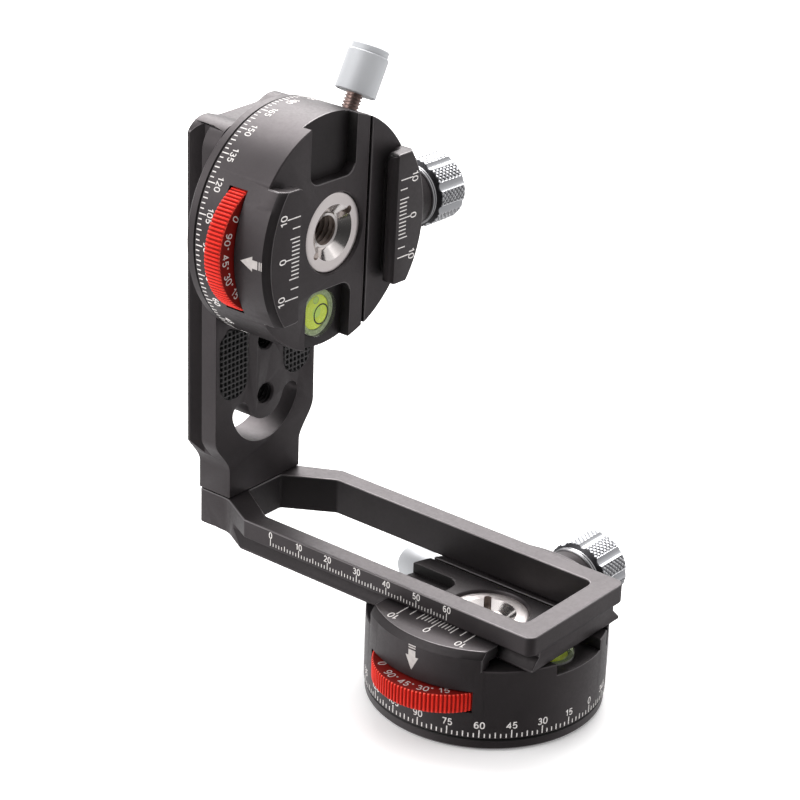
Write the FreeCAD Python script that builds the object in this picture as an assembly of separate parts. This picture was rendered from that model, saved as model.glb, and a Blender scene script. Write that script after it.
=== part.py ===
import FreeCAD, Part
import math
import os

# Two-axis panoramic head: two identical indexing rotators with dovetail clamps,
# a slotted horizontal arm held in the lower clamp and a vertical plate that
# carries the upper rotator on its side.
# Frame: origin on the lower rotator's axis at the bottom of its base, +Z up,
# +X from the vertical plate towards the arm's free end, +Y towards the clamp knob.

V = FreeCAD.Vector

# ---------------------------------------------------------------- rotator
R = 32.0            # rotor body radius
R_BASE = 31.7       # base disc radius
H_BASE = 3.05        # base disc height
Z_SKIRT = 3.45      # underside of the rotor body
Z_FLOOR = 23.2      # clamp channel floor
Z_JAW = 28.2        # top of the jaws
R_CAV = 28.2        # cavity inside the rotor skirt
Z_CAV = 10.5        # top of the cavity
R_BOSS = 27.9       # boss of the base inside the skirt
Z_BOSS = 5.0
R_HUB = 10.5        # hub of the base under the rotor
Z_HUB = 8.4
R_SHANK = 7.0       # spindle shank
R_HEAD = 10.7       # spindle head, sunk a little below the channel floor
R_SEAT = 11.0
Z_HEAD0, Z_HEAD1 = 19.9, 22.2
Z_TAP = 18.8        # top of the thread, at the foot of the head's cone
R_TAP = 4.0         # bore of the 3/8-16 thread through the spindle
JAW_X = 18.2        # half length of the fixed jaw
JAW_IN = 19.3       # inner top edge of the jaws
JAW_TIP_Y, JAW_TIP_Z = 18.0, 25.55   # lip that grips the dovetail
JAW_WALL = 19.5     # channel wall under the lip
JAW_END_R = 5.5     # rounding of the jaws' ends under the lip
SEAM_Y = 12.8       # parting face between rotor body and moving jaw
POCKET_Z = 20.1     # floor of the two end pockets of the channel
POCKET_X = 14.9
POCKET_Y0, POCKET_Y1 = -10.5, 7.4

# index wheel, turning about an axis off the rotor's axis
WHEEL_Y = -18.9
WHEEL_R = 18.2
WHEEL_Z0, WHEEL_Z1 = 11.2, 16.6
WHEEL_POCKET_R = 18.6
WHEEL_POCKET_Z = 17.1
WINDOW_Z0 = 10.95   # lower edge of the wheel's window in the wall
WHEEL_LOAD = 9.2    # the pocket is this much longer inwards, to load the wheel from below
BALL_R_ARM = 8.6    # ball plunger's distance from the wheel axis
BALL_A0 = 4.0       # its angle at the 45 degree setting
LABEL_STEP = 20.0   # wheel angle between two settings
ROW_COUNTS = {-2: 24, -1: 12, 0: 8, 1: 4}   # holes per row for each wheel step

# lock stud and knob
LOCK_A = 152.5
LOCK_Z = 14.2
# clamp screw
CLAMP_Z = 17.3
JAW_GAP = 1.0       # parting gap at rest
# distance of the lock knobs from the axis
KNOB_LOW, KNOB_UP = 34.4, 36.35
TURN_UP = -1.5      # the upper rotor is turned this much on its base
FLUTES, FLUTE_R, FLUTE_D = 9, 1.6, 10.5     # the clamp knob's flutes and their centres' distance
FLUTE_LOW, FLUTE_UP = 2.5, 32.7             # angle of the first flute about the screw, from +X to +Z

# bubble level
LEVEL_X, LEVEL_Y, LEVEL_R = 22.1, -2.7, 6.4

# ---------------------------------------------------------------- arm and plate
ARM_Z0, ARM_Z1 = 23.6, 34.0
ARM_HW = 20.5       # half width of the slab
DT_BASE = 19.1      # half width of the dovetail base (38.2 mm)
DT_LAND = 0.8
DT_WAIST = 16.3
DT_INSET = 0.35     # the dovetail ends this much short of the slab
SLAB_T = 5.4
PLATE_SLAB = 5.0
ARM_X1 = 28.9
ARM_XD = -67.5
ARM_XB = -79.0
ARM_X0 = -89.5
FOOT_X = -84.0      # row of the foot screws and dowels
BLOCK_HW = 14.35
PLATE_X1 = -78.5
PLATE_X0 = -89.6
PLATE_T = PLATE_X1 - PLATE_X0
EAR_R = 7.0
PLATE_HW = 20.1
PLATE_TOP = 141.6
UP_Z = 114.0        # height of the upper rotator's axis
R_QUARTER = 2.6     # bore of the plate's 1/4-20 threads

os.makedirs("parts", exist_ok=True)


def cyl(r, z0, z1, x=0.0, y=0.0):
    return Part.makeCylinder(r, z1 - z0, V(x, y, z0), V(0, 0, 1))


def cyl_dir(r, length, p, d):
    return Part.makeCylinder(r, length, V(*p), V(*d))


def box(x0, x1, y0, y1, z0, z1):
    return Part.makeBox(x1 - x0, y1 - y0, z1 - z0, V(x0, y0, z0))


def revolve(rz):
    pts = [V(r, 0, z) for r, z in rz]
    face = Part.Face(Part.makePolygon(pts + [pts[0]]))
    return face.revolve(V(0, 0, 0), V(0, 0, 1), 360)


def prism(pts, d):
    """Solid swept from a closed polygon of 3-D points along d."""
    pts = [V(*p) for p in pts]
    return Part.Face(Part.makePolygon(pts + [pts[0]])).extrude(V(*d))


def fuse(a, *rest):
    for b in rest:
        a = a.fuse(b)
    return a.removeSplitter()


def one(s):
    """The single solid of a boolean result."""
    sol = s.Solids
    sol.sort(key=lambda q: -q.Volume)
    return sol[0]


def rounded(points, radii, n=6):
    """Polygon with its corners rounded: radii per corner, arcs as n chords."""
    out = []
    m = len(points)
    for i in range(m):
        p0, p1, p2 = points[i - 1], points[i], points[(i + 1) % m]
        r = radii[i]
        if r <= 0:
            out.append(p1)
            continue
        a = (p0[0] - p1[0], p0[1] - p1[1])
        b = (p2[0] - p1[0], p2[1] - p1[1])
        la, lb = math.hypot(*a), math.hypot(*b)
        a = (a[0] / la, a[1] / la)
        b = (b[0] / lb, b[1] / lb)
        ang = math.acos(max(-1, min(1, a[0] * b[0] + a[1] * b[1])))
        t = r / math.tan(ang / 2)
        s = (p1[0] + a[0] * t, p1[1] + a[1] * t)
        e = (p1[0] + b[0] * t, p1[1] + b[1] * t)
        bis = (a[0] + b[0], a[1] + b[1])
        lbis = math.hypot(*bis)
        c = (p1[0] + bis[0] / lbis * r / math.sin(ang / 2),
             p1[1] + bis[1] / lbis * r / math.sin(ang / 2))
        a0 = math.atan2(s[1] - c[1], s[0] - c[0])
        a1 = math.atan2(e[1] - c[1], e[0] - c[0])
        d = (a1 - a0 + math.pi) % (2 * math.pi) - math.pi
        for k in range(n + 1):
            q = a0 + d * k / n
            out.append((c[0] + r * math.cos(q), c[1] + r * math.sin(q)))
    return out


def wheel_xy(step, radius=BALL_R_ARM):
    a = math.radians(BALL_A0 + LABEL_STEP * step)
    return radius * math.cos(a), WHEEL_Y + radius * math.sin(a)


def helix_spring(coil_r, wire_r, length, turns, place):
    path = Part.makeHelix(length / turns, length, coil_r)
    prof = Part.Wire([Part.makeCircle(wire_r, V(coil_r, 0, 0), V(0, 1, 0.0))])
    s = Part.Wire(path.Edges).makePipeShell([prof], True, True)
    s.Placement = place
    return s


def jaw_end(sx, sy):
    """Corner taken off a jaw's end under its lip, as a solid to cut away."""
    r = JAW_END_R
    c = box(JAW_X - r, JAW_X + 1, JAW_WALL - 3, JAW_WALL + r, Z_FLOOR, JAW_TIP_Z - 0.6).cut(
        cyl(r, 19, 31, JAW_X - r, JAW_WALL + r))
    if sx < 0:
        c = c.mirror(V(0, 0, 0), V(1, 0, 0))
    if sy < 0:
        c = c.mirror(V(0, 0, 0), V(0, 1, 0))
    return c


def rotator(knob_at, relief, flute_at):
    """One rotator standing on z = 0; relief is a groove in the spindle's bore, flute_at the knob's angle."""
    p = {}
    # --- base: disc, boss and hub, with a bore for the spindle
    p["base_disc"] = revolve([
        (R_SHANK + 0.02, 0.6), (R_SHANK + 0.62, 0), (R_BASE - 0.7, 0), (R_BASE, 0.7),
        (R_BASE, H_BASE - 0.3), (R_BASE - 0.3, H_BASE), (R_BOSS, H_BASE), (R_BOSS, Z_BOSS),
        (R_HUB, Z_BOSS), (R_HUB, Z_HUB), (R_SHANK + 0.02, Z_HUB)])
    # --- detent plate: four rows of holes, one row for each wheel setting
    plate = revolve([(R_HUB + 0.05, Z_BOSS), (27.6, Z_BOSS), (27.6, 6.6), (R_HUB + 0.05, 6.6)])
    holes = []
    for step, count in ROW_COUNTS.items():
        x, y = wheel_xy(step)
        rr, a0 = math.hypot(x, y), math.atan2(y, x)
        for k in range(count):
            a = a0 + 2 * math.pi * k / count
            holes.append(cyl(0.9, 4.9, 6.7, rr * math.cos(a), rr * math.sin(a)))
    p["detent_plate"] = one(plate.cut(Part.makeCompound(holes)))
    # --- spindle: threaded tube with a countersunk head flush in the channel
    sp = revolve([
        (R_TAP, 0), (R_SHANK - 0.4, 0), (R_SHANK, 0.4),
        (R_SHANK, Z_HEAD0), (R_HEAD, Z_HEAD0), (R_HEAD, Z_HEAD1 - 0.25),
        (R_HEAD - 0.25, Z_HEAD1), (7.4, Z_HEAD1), (4.95, 19.75), (R_TAP, Z_TAP)])
    if relief:
        sp = sp.cut(cyl(4.9, relief[0], relief[1]))
    for a in (127.0, -53.0):
        ca, sa = math.cos(math.radians(a)), math.sin(math.radians(a))
        slot = box(2.0, 8.0, -1.0, 1.0, 20.2, 23).fuse(cyl(1.0, 20.2, 23, 8.0, 0))
        slot.rotate(V(0, 0, 0), V(0, 0, 1), a)
        sp = sp.cut(slot)
    p["spindle"] = one(sp)
    p["head_washer"] = revolve([(7.3, 19.42), (10.3, 19.42), (10.3, 19.86), (7.3, 19.86)])
    p["base_washer"] = revolve([(7.3, Z_HUB), (10.4, Z_HUB), (10.4, 9.16), (7.3, 9.16)])
    p["bearing_bush"] = revolve([(7.05, 17.15), (9.0, 17.15), (9.0, 19.38), (7.05, 19.38)])

    # --- rotor body
    rb = revolve([(0, Z_SKIRT), (R - 0.25, Z_SKIRT), (R, Z_SKIRT + 0.25), (R, Z_FLOOR - 0.3),
                  (R - 0.3, Z_FLOOR), (0, Z_FLOOR)])
    jaw_outer = revolve([(0, 20.0), (R, 20.0), (R, 26.4), (R - 1.4, Z_JAW), (0, Z_JAW)])
    # fixed jaw: straight block with rounded inner corners and an undercut lip
    plan = rounded([(-JAW_X, -40), (JAW_X, -40), (JAW_X, -15.5), (-JAW_X, -15.5)], [0, 0, 0, 0])
    jaw = prism([(x, y, 21.0) for x, y in plan], (0, 0, 8))
    z_lip = JAW_TIP_Z - (JAW_WALL - JAW_TIP_Y)
    prof = [(-40, 21.0), (-JAW_WALL, 21.0), (-JAW_WALL, z_lip), (-JAW_TIP_Y, JAW_TIP_Z),
            (-JAW_IN + 0.4, Z_JAW - 0.35), (-JAW_IN, Z_JAW), (-40, Z_JAW)]
    jaw = jaw.common(prism([(-JAW_X - 1, y, z) for y, z in prof], (2 * JAW_X + 2, 0, 0)))
    # the corners towards the channel are rounded in plan
    rc = 2.6
    for s in (-1, 1):
        corner = box(JAW_X - rc, JAW_X + 1, -JAW_TIP_Y - rc, -14, 20, 30).cut(
            cyl(rc, 19, 31, JAW_X - rc, -JAW_TIP_Y - rc))
        if s < 0:
            corner = corner.mirror(V(0, 0, 0), V(1, 0, 0))
        jaw = jaw.cut(corner)
    jaw = jaw.common(jaw_outer)
    for s in (-1, 1):
        jaw = jaw.cut(jaw_end(s, -1))
    rb = rb.fuse(jaw)
    # seat of the moving jaw
    rb = rb.cut(box(-40, 40, SEAM_Y, 40, 17.9, 30))
    rb = rb.cut(box(-17.3, 17.3, SEAM_Y, 40, 12.1, 30))
    # cavity, wheel pocket and slot
    rb = rb.cut(cyl(R_CAV, 0, Z_CAV))
    def wheel_room(za, zb):
        return cyl(WHEEL_POCKET_R, za, zb, 0, WHEEL_Y).fuse(
            [cyl(WHEEL_POCKET_R, za, zb, 0, WHEEL_Y + WHEEL_LOAD),
             box(-WHEEL_POCKET_R, WHEEL_POCKET_R, WHEEL_Y, WHEEL_Y + WHEEL_LOAD, za, zb)])

    rb = rb.cut(wheel_room(WINDOW_Z0, WHEEL_POCKET_Z))
    rb = rb.cut(wheel_room(Z_CAV - 0.1, WINDOW_Z0).common(cyl(R_CAV, 9, 12)))
    rb = rb.cut(cyl(9.0, 17.0, 19.5)).cut(cyl(R_SEAT, 19.38, 30))
    rb = rb.cut(Part.makeCone(R_SEAT, R_SEAT + 0.4, 0.4, V(0, 0, Z_FLOOR - 0.4), V(0, 0, 1)))
    # the two end pockets of the channel
    for s in (-1, 1):
        pts = [(s * POCKET_X, POCKET_Y0), (s * 40, POCKET_Y0), (s * 40, POCKET_Y1), (s * POCKET_X, POCKET_Y1)]
        pts = rounded(pts, [3.5, 0, 0, 3.5])
        rb = rb.cut(prism([(x, y, POCKET_Z) for x, y in pts], (0, 0, 10)))
    # lock stud hole, level hole, clamp nut hole, guide pin holes, pivot hole
    ca, sa = math.cos(math.radians(LOCK_A)), math.sin(math.radians(LOCK_A))
    rb = rb.cut(cyl_dir(2.46, 25, (10 * ca, 10 * sa, LOCK_Z), (ca, sa, 0)))
    rb = rb.cut(cyl(LEVEL_R + 0.1, 17.6, 21.0, LEVEL_X, LEVEL_Y))
    rb = rb.cut(cyl_dir(4.1, 6, (0, 11.0, CLAMP_Z), (0, 1, 0)))
    for s in (-1, 1):
        rb = rb.cut(cyl_dir(1.6, 8, (s * 12.5, 10.35, CLAMP_Z), (0, 1, 0)))
    rb = rb.cut(cyl(2.5, 17.0, 21.0, 0, WHEEL_Y))
    screw_at = [(24.5 * math.cos(math.radians(a)), 24.5 * math.sin(math.radians(a))) for a in (20, 172, 192, -10)]
    for x, y in screw_at:
        rb = rb.cut(cyl(1.5, 10.4, 15.0, x, y))
    p["rotor_body"] = one(rb)

    # --- cover plate under the wheel, with an arc window for the ball plunger
    cp = revolve([(7.4, 9.2), (28.0, 9.2), (28.0, 10.48), (7.4, 10.48)])
    a0 = BALL_A0 - 2 * LABEL_STEP - 1
    a1 = BALL_A0 + 2 * LABEL_STEP + 1
    rw = 2.65
    win = cyl(BALL_R_ARM + rw, 9, 11, 0, WHEEL_Y).cut(cyl(BALL_R_ARM - rw, 8, 12, 0, WHEEL_Y))
    wedge = prism([(0, WHEEL_Y, 8.5)] + [(40 * math.cos(math.radians(a0 + (a1 - a0) * k / 6)),
                  WHEEL_Y + 40 * math.sin(math.radians(a0 + (a1 - a0) * k / 6)), 8.5) for k in range(7)], (0, 0, 3))
    win = win.common(wedge)
    for a in (a0, a1):
        win = win.fuse(cyl(rw, 9, 11, BALL_R_ARM * math.cos(math.radians(a)),
                           WHEEL_Y + BALL_R_ARM * math.sin(math.radians(a))))
    cp = cp.cut(win).cut(cyl(2.5, 9, 11, 0, WHEEL_Y))
    for x, y in screw_at:
        cone = Part.makeCone(2.75, 1.5, 1.25, V(x, y, 9.2), V(0, 0, 1))
        cp = cp.cut(cone.fuse(cyl(1.5, 9, 11, x, y)))
    p["cover_plate"] = one(cp)
    screws = []
    for x, y in screw_at:
        s = Part.makeCone(2.65, 1.42, 1.22, V(x, y, 9.24), V(0, 0, 1)).fuse(cyl(1.42, 10.4, 14.6, x, y))
        s = s.cut(box(x - 0.3, x + 0.3, y - 3, y + 3, 9.0, 9.7))
        screws.append(one(s))
    p["cover_screws"] = Part.makeCompound(screws)

    # --- index wheel: a disc cut back round the spindle
    rh = 4.6
    w = revolve([(2.56, WHEEL_Z0 - 0.45), (rh, WHEEL_Z0 - 0.45), (rh, WHEEL_Z0), (WHEEL_R - 0.4, WHEEL_Z0),
                 (WHEEL_R, WHEEL_Z0 + 0.4), (WHEEL_R, WHEEL_Z1 - 0.4), (WHEEL_R - 0.4, WHEEL_Z1),
                 (rh, WHEEL_Z1), (rh, WHEEL_Z1 + 0.4), (2.56, WHEEL_Z1 + 0.4)])
    half = 66.5
    cut = cyl(30, 8, 20).cut(cyl(9.6, 7, 21))
    wedge = prism([(0, 0, 8)] + [(60 * math.cos(math.radians(90 - half + 2 * half * k / 8)),
                  60 * math.sin(math.radians(90 - half + 2 * half * k / 8)), 8) for k in range(9)], (0, 0, 12))
    w = w.cut(cut.common(wedge))
    w.translate(V(0, WHEEL_Y, 0))
    bx, by = wheel_xy(0)
    w = w.cut(cyl(2.5, 9, 18, bx, by))
    p["index_wheel"] = one(w)
    p["wheel_pivot"] = revolve([(0, 9.3), (2.2, 9.3), (2.5, 9.6), (2.5, 20.6), (2.2, 20.9), (0, 20.9)])
    p["wheel_pivot"].translate(V(0, WHEEL_Y, 0))
    # ball plunger screwed into the wheel
    pl = revolve([(1.56, 7.9), (2.1, 7.9), (2.46, 8.3), (2.46, 16.3), (1.0, 16.3), (1.0, 15.6), (0.0, 15.6),
                  (0.0, 14.4), (1.56, 14.4)])
    pl.translate(V(bx, by, 0))
    p["detent_plunger"] = pl
    p["detent_ball"] = Part.makeSphere(1.5, V(bx, by, 8.15))
    p["detent_spring"] = helix_spring(1.1, 0.2, 4.2, 6, FreeCAD.Placement(V(bx, by, 9.95), FreeCAD.Rotation()))

    # --- lock stud, knob and brake pin on the radial line
    rot = FreeCAD.Rotation(V(0, 0, 1), V(ca, sa, 0))

    def radial(shape, at):
        shape.Placement = FreeCAD.Placement(V(at * ca, at * sa, LOCK_Z), rot)
        return shape

    p["brake_pin"] = radial(revolve([(0, 0), (1.7, 0), (2.4, 0.7), (2.4, 11.6), (2.1, 11.9), (0, 11.9)]), 7.1)
    ls = knob_at + 5.1 - 19.05
    p["lock_stud"] = radial(revolve([(0, 0), (2.0, 0), (2.4, 0.4), (2.4, ls - 0.4), (2.0, ls), (0, ls)]), 19.05)
    knob = revolve([(2.42, -0.02), (4.5, 0), (4.5, 0.35), (4.95, 0.35), (4.95, 0), (5.45, 0), (5.65, 0.2), (5.65, 10.75),
                    (5.4, 11.0), (5.15, 11.05), (5.15, 12.6), (4.85, 12.9), (0, 12.9), (0, 6.0), (2.42, 6.0)])
    pits = [cyl(0.35, -0.5, 0.7, 3.45 * math.cos(k * math.pi / 3 + 0.3), 3.45 * math.sin(k * math.pi / 3 + 0.3)) for k in range(6)]
    knob = one(knob.cut(Part.makeCompound(pits)))
    p["lock_knob"] = radial(knob, knob_at)

    # --- bubble level
    lx, ly = LEVEL_X, LEVEL_Y
    li = LEVEL_R - 0.5
    cup = revolve([(0, 17.65), (LEVEL_R, 17.65), (LEVEL_R, 20.4), (li, 20.4), (li, 18.2), (0, 18.2)])
    cup.translate(V(lx, ly, 0))
    p["level_cup"] = cup
    vial = revolve([(0, 18.2), (li - 0.05, 18.2), (li - 0.05, 20.42), (LEVEL_R, 20.42), (LEVEL_R, 21.6), (LEVEL_R - 0.3, 21.9), (0, 21.9)])
    vial.translate(V(lx, ly, 0))
    p["level_vial"] = vial

    # --- moving jaw
    y0 = SEAM_Y + JAW_GAP
    full = revolve([(0, 12.4), (R - 0.2, 12.4), (R, 12.6), (R, 26.4), (R - 1.4, Z_JAW), (0, Z_JAW)])
    block = box(-17.0, 17.0, y0, 40, 12.4, 18.5)
    flange = box(-40, 40, y0, 40, 18.2, Z_FLOOR)
    prof = [(y0 + 0.4, 21.0), (JAW_WALL, 21.0), (JAW_WALL, z_lip), (JAW_TIP_Y, JAW_TIP_Z),
            (JAW_IN - 0.4, Z_JAW - 0.35), (JAW_IN, Z_JAW), (40, Z_JAW), (40, 21.0)]
    lip = prism([(-JAW_X, y, z) for y, z in prof], (2 * JAW_X, 0, 0))
    rc = 2.2
    for s in (-1, 1):
        corner = box(JAW_X - rc, JAW_X + 1, 14, JAW_TIP_Y + rc, 22.2, 30).cut(
            cyl(rc, 19, 31, JAW_X - rc, JAW_TIP_Y + rc))
        if s < 0:
            corner = corner.mirror(V(0, 0, 0), V(1, 0, 0))
        lip = lip.cut(corner)
    lip = lip.cut(box(-40, 40, 10, JAW_WALL, 20, Z_FLOOR - 0.1))
    for s in (-1, 1):
        lip = lip.cut(jaw_end(s, 1))
    mj = fuse(block, flange, lip).common(full)
    boss = cyl_dir(8.2, 5.45, (0, 32.35, CLAMP_Z), (0, 1, 0))
    boss2 = cyl_dir(8.2, 12, (0, 24.0, CLAMP_Z), (0, 1, 0)).common(box(-20, 20, 20, 34, 12.4, 40))
    boss2 = boss2.cut(box(-20, 20, 20, 28.6, 28.2, 40))
    mj = fuse(mj, boss, boss2)
    mj = mj.cut(cyl_dir(4.2, 10, (0, 12.0, CLAMP_Z), (0, 1, 0))).cut(cyl_dir(2.6, 40, (0, 12.0, CLAMP_Z), (0, 1, 0)))
    for s in (-1, 1):
        mj = mj.cut(cyl_dir(1.66, 14, (s * 12.5, 13.0, CLAMP_Z), (0, 1, 0)))
        mj = mj.cut(cyl_dir(2.5, 9, (s * 12.5, 13.0, CLAMP_Z), (0, 1, 0)))
    p["moving_jaw"] = one(mj)

    def along_y(shape, x, y):
        shape.Placement = FreeCAD.Placement(V(x, y, CLAMP_Z), FreeCAD.Rotation(V(0, 0, 1), V(0, 1, 0)))
        return shape

    p["clamp_nut"] = along_y(revolve([(2.46, 0), (4.1, 0), (4.1, 10.0), (3.8, 10.3), (2.46, 10.3)]), 0, 11.05)
    p["guide_pins"] = Part.makeCompound([
        along_y(revolve([(0, 0), (1.3, 0), (1.6, 0.3), (1.6, 14.8), (1.3, 15.1), (0, 15.1)]), s * 12.5, 10.4)
        for s in (-1, 1)])
    springs = []
    for s in (-1, 1):
        pl = FreeCAD.Placement(V(s * 12.5, SEAM_Y + 0.25, CLAMP_Z), FreeCAD.Rotation(V(0, 0, 1), V(0, 1, 0)))
        pl = pl.multiply(FreeCAD.Placement(V(0, 0, 0), FreeCAD.Rotation(V(0, 0, 1), 180.0 if relief else 0.0)))
        springs.append(helix_spring(2.05, 0.2, 8.6, 8, pl))
    p["jaw_springs"] = Part.makeCompound(springs)
    p["clamp_screw"] = along_y(revolve([(0, 0), (2.0, 0), (2.42, 0.42), (2.42, 33.6), (0, 33.6)]), 0, 11.2)
    p["clamp_collar"] = along_y(revolve([(2.6, 0), (8.3, 0), (8.6, 0.2), (8.6, 0.7), (8.25, 0.8), (8.25, 0.95), (8.6, 1.05),
                                         (8.6, 1.5), (8.35, 1.7), (2.6, 1.7)]), 0, 37.82)
    # knurled knob with nine flutes; the revolve's own x axis lies along +X, its y axis along -Z
    kn = revolve([(2.43, 0.0), (8.2, 0.0), (9.6, 1.1), (9.6, 10.9), (9.0, 11.5), (6.2, 11.5), (6.2, 11.0), (0, 11.0),
                  (0, 5.2), (2.43, 5.2)])
    flutes = []
    for k in range(FLUTES):
        a = -math.radians(flute_at + 360.0 / FLUTES * k)
        flutes.append(cyl(FLUTE_R, -1, 13, FLUTE_D * math.cos(a), FLUTE_D * math.sin(a)))
    kn = one(kn.cut(Part.makeCompound(flutes)))
    p["clamp_knob"] = along_y(kn, 0, 39.7)
    return p


def arm():
    out = [(ARM_X0, -BLOCK_HW), (ARM_XB, -BLOCK_HW), (ARM_XD, -ARM_HW), (ARM_X1, -ARM_HW),
           (ARM_X1, ARM_HW), (ARM_XD, ARM_HW), (ARM_XB, BLOCK_HW), (ARM_X0, BLOCK_HW)]
    out = rounded(out, [0.8, 8.0, 1.5, 2.4, 2.4, 1.5, 8.0, 0.8])
    a = prism([(x, y, ARM_Z0) for x, y in out], (0, 0, ARM_Z1 - ARM_Z0))
    inner = [(-78.3, -6.6), (-64.6, -14.9), (22.5, -14.9), (22.5, 14.9), (-64.6, 14.9), (-78.3, 6.6)]
    inner = rounded(inner, [1.2, 2.0, 2.4, 2.4, 2.0, 1.2])
    a = a.cut(prism([(x, y, ARM_Z0 - 1) for x, y in inner], (0, 0, ARM_Z1 - ARM_Z0 + 2)))
    # dovetail grooves along both sides, running out through the tapered shoulders
    for s in (-1, 1):
        prof = [(DT_BASE, ARM_Z0 - 1), (DT_BASE, ARM_Z0 + DT_LAND), (DT_WAIST, ARM_Z0 + DT_LAND + DT_BASE - DT_WAIST),
                (DT_WAIST, ARM_Z1 - SLAB_T), (ARM_HW + 3, ARM_Z1 - SLAB_T), (ARM_HW + 3, ARM_Z0 - 1)]
        a = a.cut(prism([(ARM_XB, s * y, z) for y, z in prof], (ARM_X1 + 3 - ARM_XB, 0, 0)))
    a = a.cut(box(ARM_X1 - DT_INSET, ARM_X1 + 3, -30, 30, ARM_Z0 - 1, ARM_Z1 - SLAB_T))
    # counterbores for the two foot screws and holes for the dowels
    for y in (-9.5, 9.5):
        a = a.cut(cyl(2.6, ARM_Z0 - 1, ARM_Z1 + 1, FOOT_X, y))
        a = a.cut(Part.makeCone(5.0, 2.6, 2.4, V(FOOT_X, y, ARM_Z0), V(0, 0, 1)))
    for y in (-3.5, 3.5):
        a = a.cut(cyl(1.5, ARM_Z1 - 5, ARM_Z1 + 1, FOOT_X, y))
    return one(a)


def plate():
    hw = PLATE_HW
    side = [(BLOCK_HW, ARM_Z1 + 0.02), (BLOCK_HW, 42.2)]
    # S-curve from the foot to the full width
    for k in range(1, 11):
        t = k / 10.0
        s = t * t * (3 - 2 * t)
        side.append((BLOCK_HW + (hw - BLOCK_HW) * s, 42.2 + 10.8 * t))
    side += [(hw, PLATE_TOP - EAR_R)]
    # rounded ear, then down to the lower middle of the end
    for k in range(1, 11):
        a = math.radians(90.0 * k / 10)
        side.append((hw - EAR_R + EAR_R * math.cos(a), PLATE_TOP - EAR_R + EAR_R * math.sin(a)))
    for k in range(1, 7):
        t = k / 6.0
        s = t * t * (3 - 2 * t)
        side.append((hw - EAR_R - 0.6 - 5.6 * t, PLATE_TOP - 1.5 * s))
    pts = side + [(-y, z) for y, z in reversed(side)]
    pl = prism([(PLATE_X0, y, z) for y, z in pts], (PLATE_X1 - PLATE_X0, 0, 0))
    # dovetail grooves along both sides, facing backwards
    for s in (-1, 1):
        prof = [(PLATE_X0 - 1, DT_BASE), (PLATE_X0 + DT_LAND, DT_BASE),
                (PLATE_X0 + DT_LAND + DT_BASE - DT_WAIST, DT_WAIST), (PLATE_X1 - PLATE_SLAB, DT_WAIST),
                (PLATE_X1 - PLATE_SLAB, hw + 3), (PLATE_X0 - 1, hw + 3)]
        pl = pl.cut(prism([(x, s * y, 44.0) for x, y in prof], (0, 0, 110)))
    # tripod-thread holes and the crescent slot round the lower one
    pl = pl.cut(cyl_dir(R_QUARTER, PLATE_T + 2, (PLATE_X0 - 1, 0, 61.1), (1, 0, 0)))
    pl = pl.cut(cyl_dir(R_QUARTER, PLATE_T + 2, (PLATE_X0 - 1, 0, 77.3), (1, 0, 0)))
    for z in (61.1, 77.3):
        pl = pl.cut(Part.makeCone(R_QUARTER, 3.35, 0.7, V(PLATE_X1 - 0.7, 0, z), V(1, 0, 0)))
    ring = cyl_dir(13.6, PLATE_T + 2, (PLATE_X0 - 1, 0, 61.1), (1, 0, 0)).cut(cyl_dir(7.2, PLATE_T + 4, (PLATE_X0 - 2, 0, 61.1), (1, 0, 0)))
    a0, a1 = -164.0, -16.0
    wedge = prism([(PLATE_X0 - 1, 0, 61.1)] + [
        (PLATE_X0 - 1, 40 * math.cos(math.radians(a0 + (a1 - a0) * q / 12)),
         61.1 + 40 * math.sin(math.radians(a0 + (a1 - a0) * q / 12))) for q in range(13)], (PLATE_T + 2, 0, 0))
    slot = ring.common(wedge)
    for a in (a0, a1):
        slot = slot.fuse(cyl_dir(3.2, PLATE_T + 2, (PLATE_X0 - 1, 10.4 * math.cos(math.radians(a)),
                                           61.1 + 10.4 * math.sin(math.radians(a))), (1, 0, 0)))
    pl = pl.cut(slot)
    # recesses for the two rubber pads
    for s in (-1, 1):
        pl = pl.cut(pad(s, 0.0, 1.0))
    # counterbore and hole for the screw that holds the upper rotator, and dowel holes
    pl = pl.cut(cyl_dir(4.9, PLATE_T + 2, (PLATE_X0 - 1, 0, UP_Z), (1, 0, 0)))
    pl = pl.cut(cyl_dir(8.2, 6, (PLATE_X0 - 1, 0, UP_Z), (1, 0, 0)))
    for z in (UP_Z - 20, UP_Z + 20):
        pl = pl.cut(cyl_dir(1.5, 5, (PLATE_X1 - 5, 0, z), (1, 0, 0)))
    # relief round the foot, where the plate stands on the arm
    z0 = ARM_Z1
    rim = box(PLATE_X0 - 1, PLATE_X1 + 1, -30, 30, z0 - 1, z0 + 0.35).cut(
        box(PLATE_X0 + 0.5, PLATE_X1 - 0.5, -BLOCK_HW + 0.5, BLOCK_HW - 0.5, z0 - 2, z0 + 2))
    pl = pl.cut(rim)
    # foot screws and dowels
    for y in (-9.5, 9.5):
        pl = pl.cut(cyl(2.1, ARM_Z1 - 1, 46.5, FOOT_X, y))
    for y in (-3.5, 3.5):
        pl = pl.cut(cyl(1.5, ARM_Z1 - 1, 38.5, FOOT_X, y))
    return one(pl)


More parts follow.
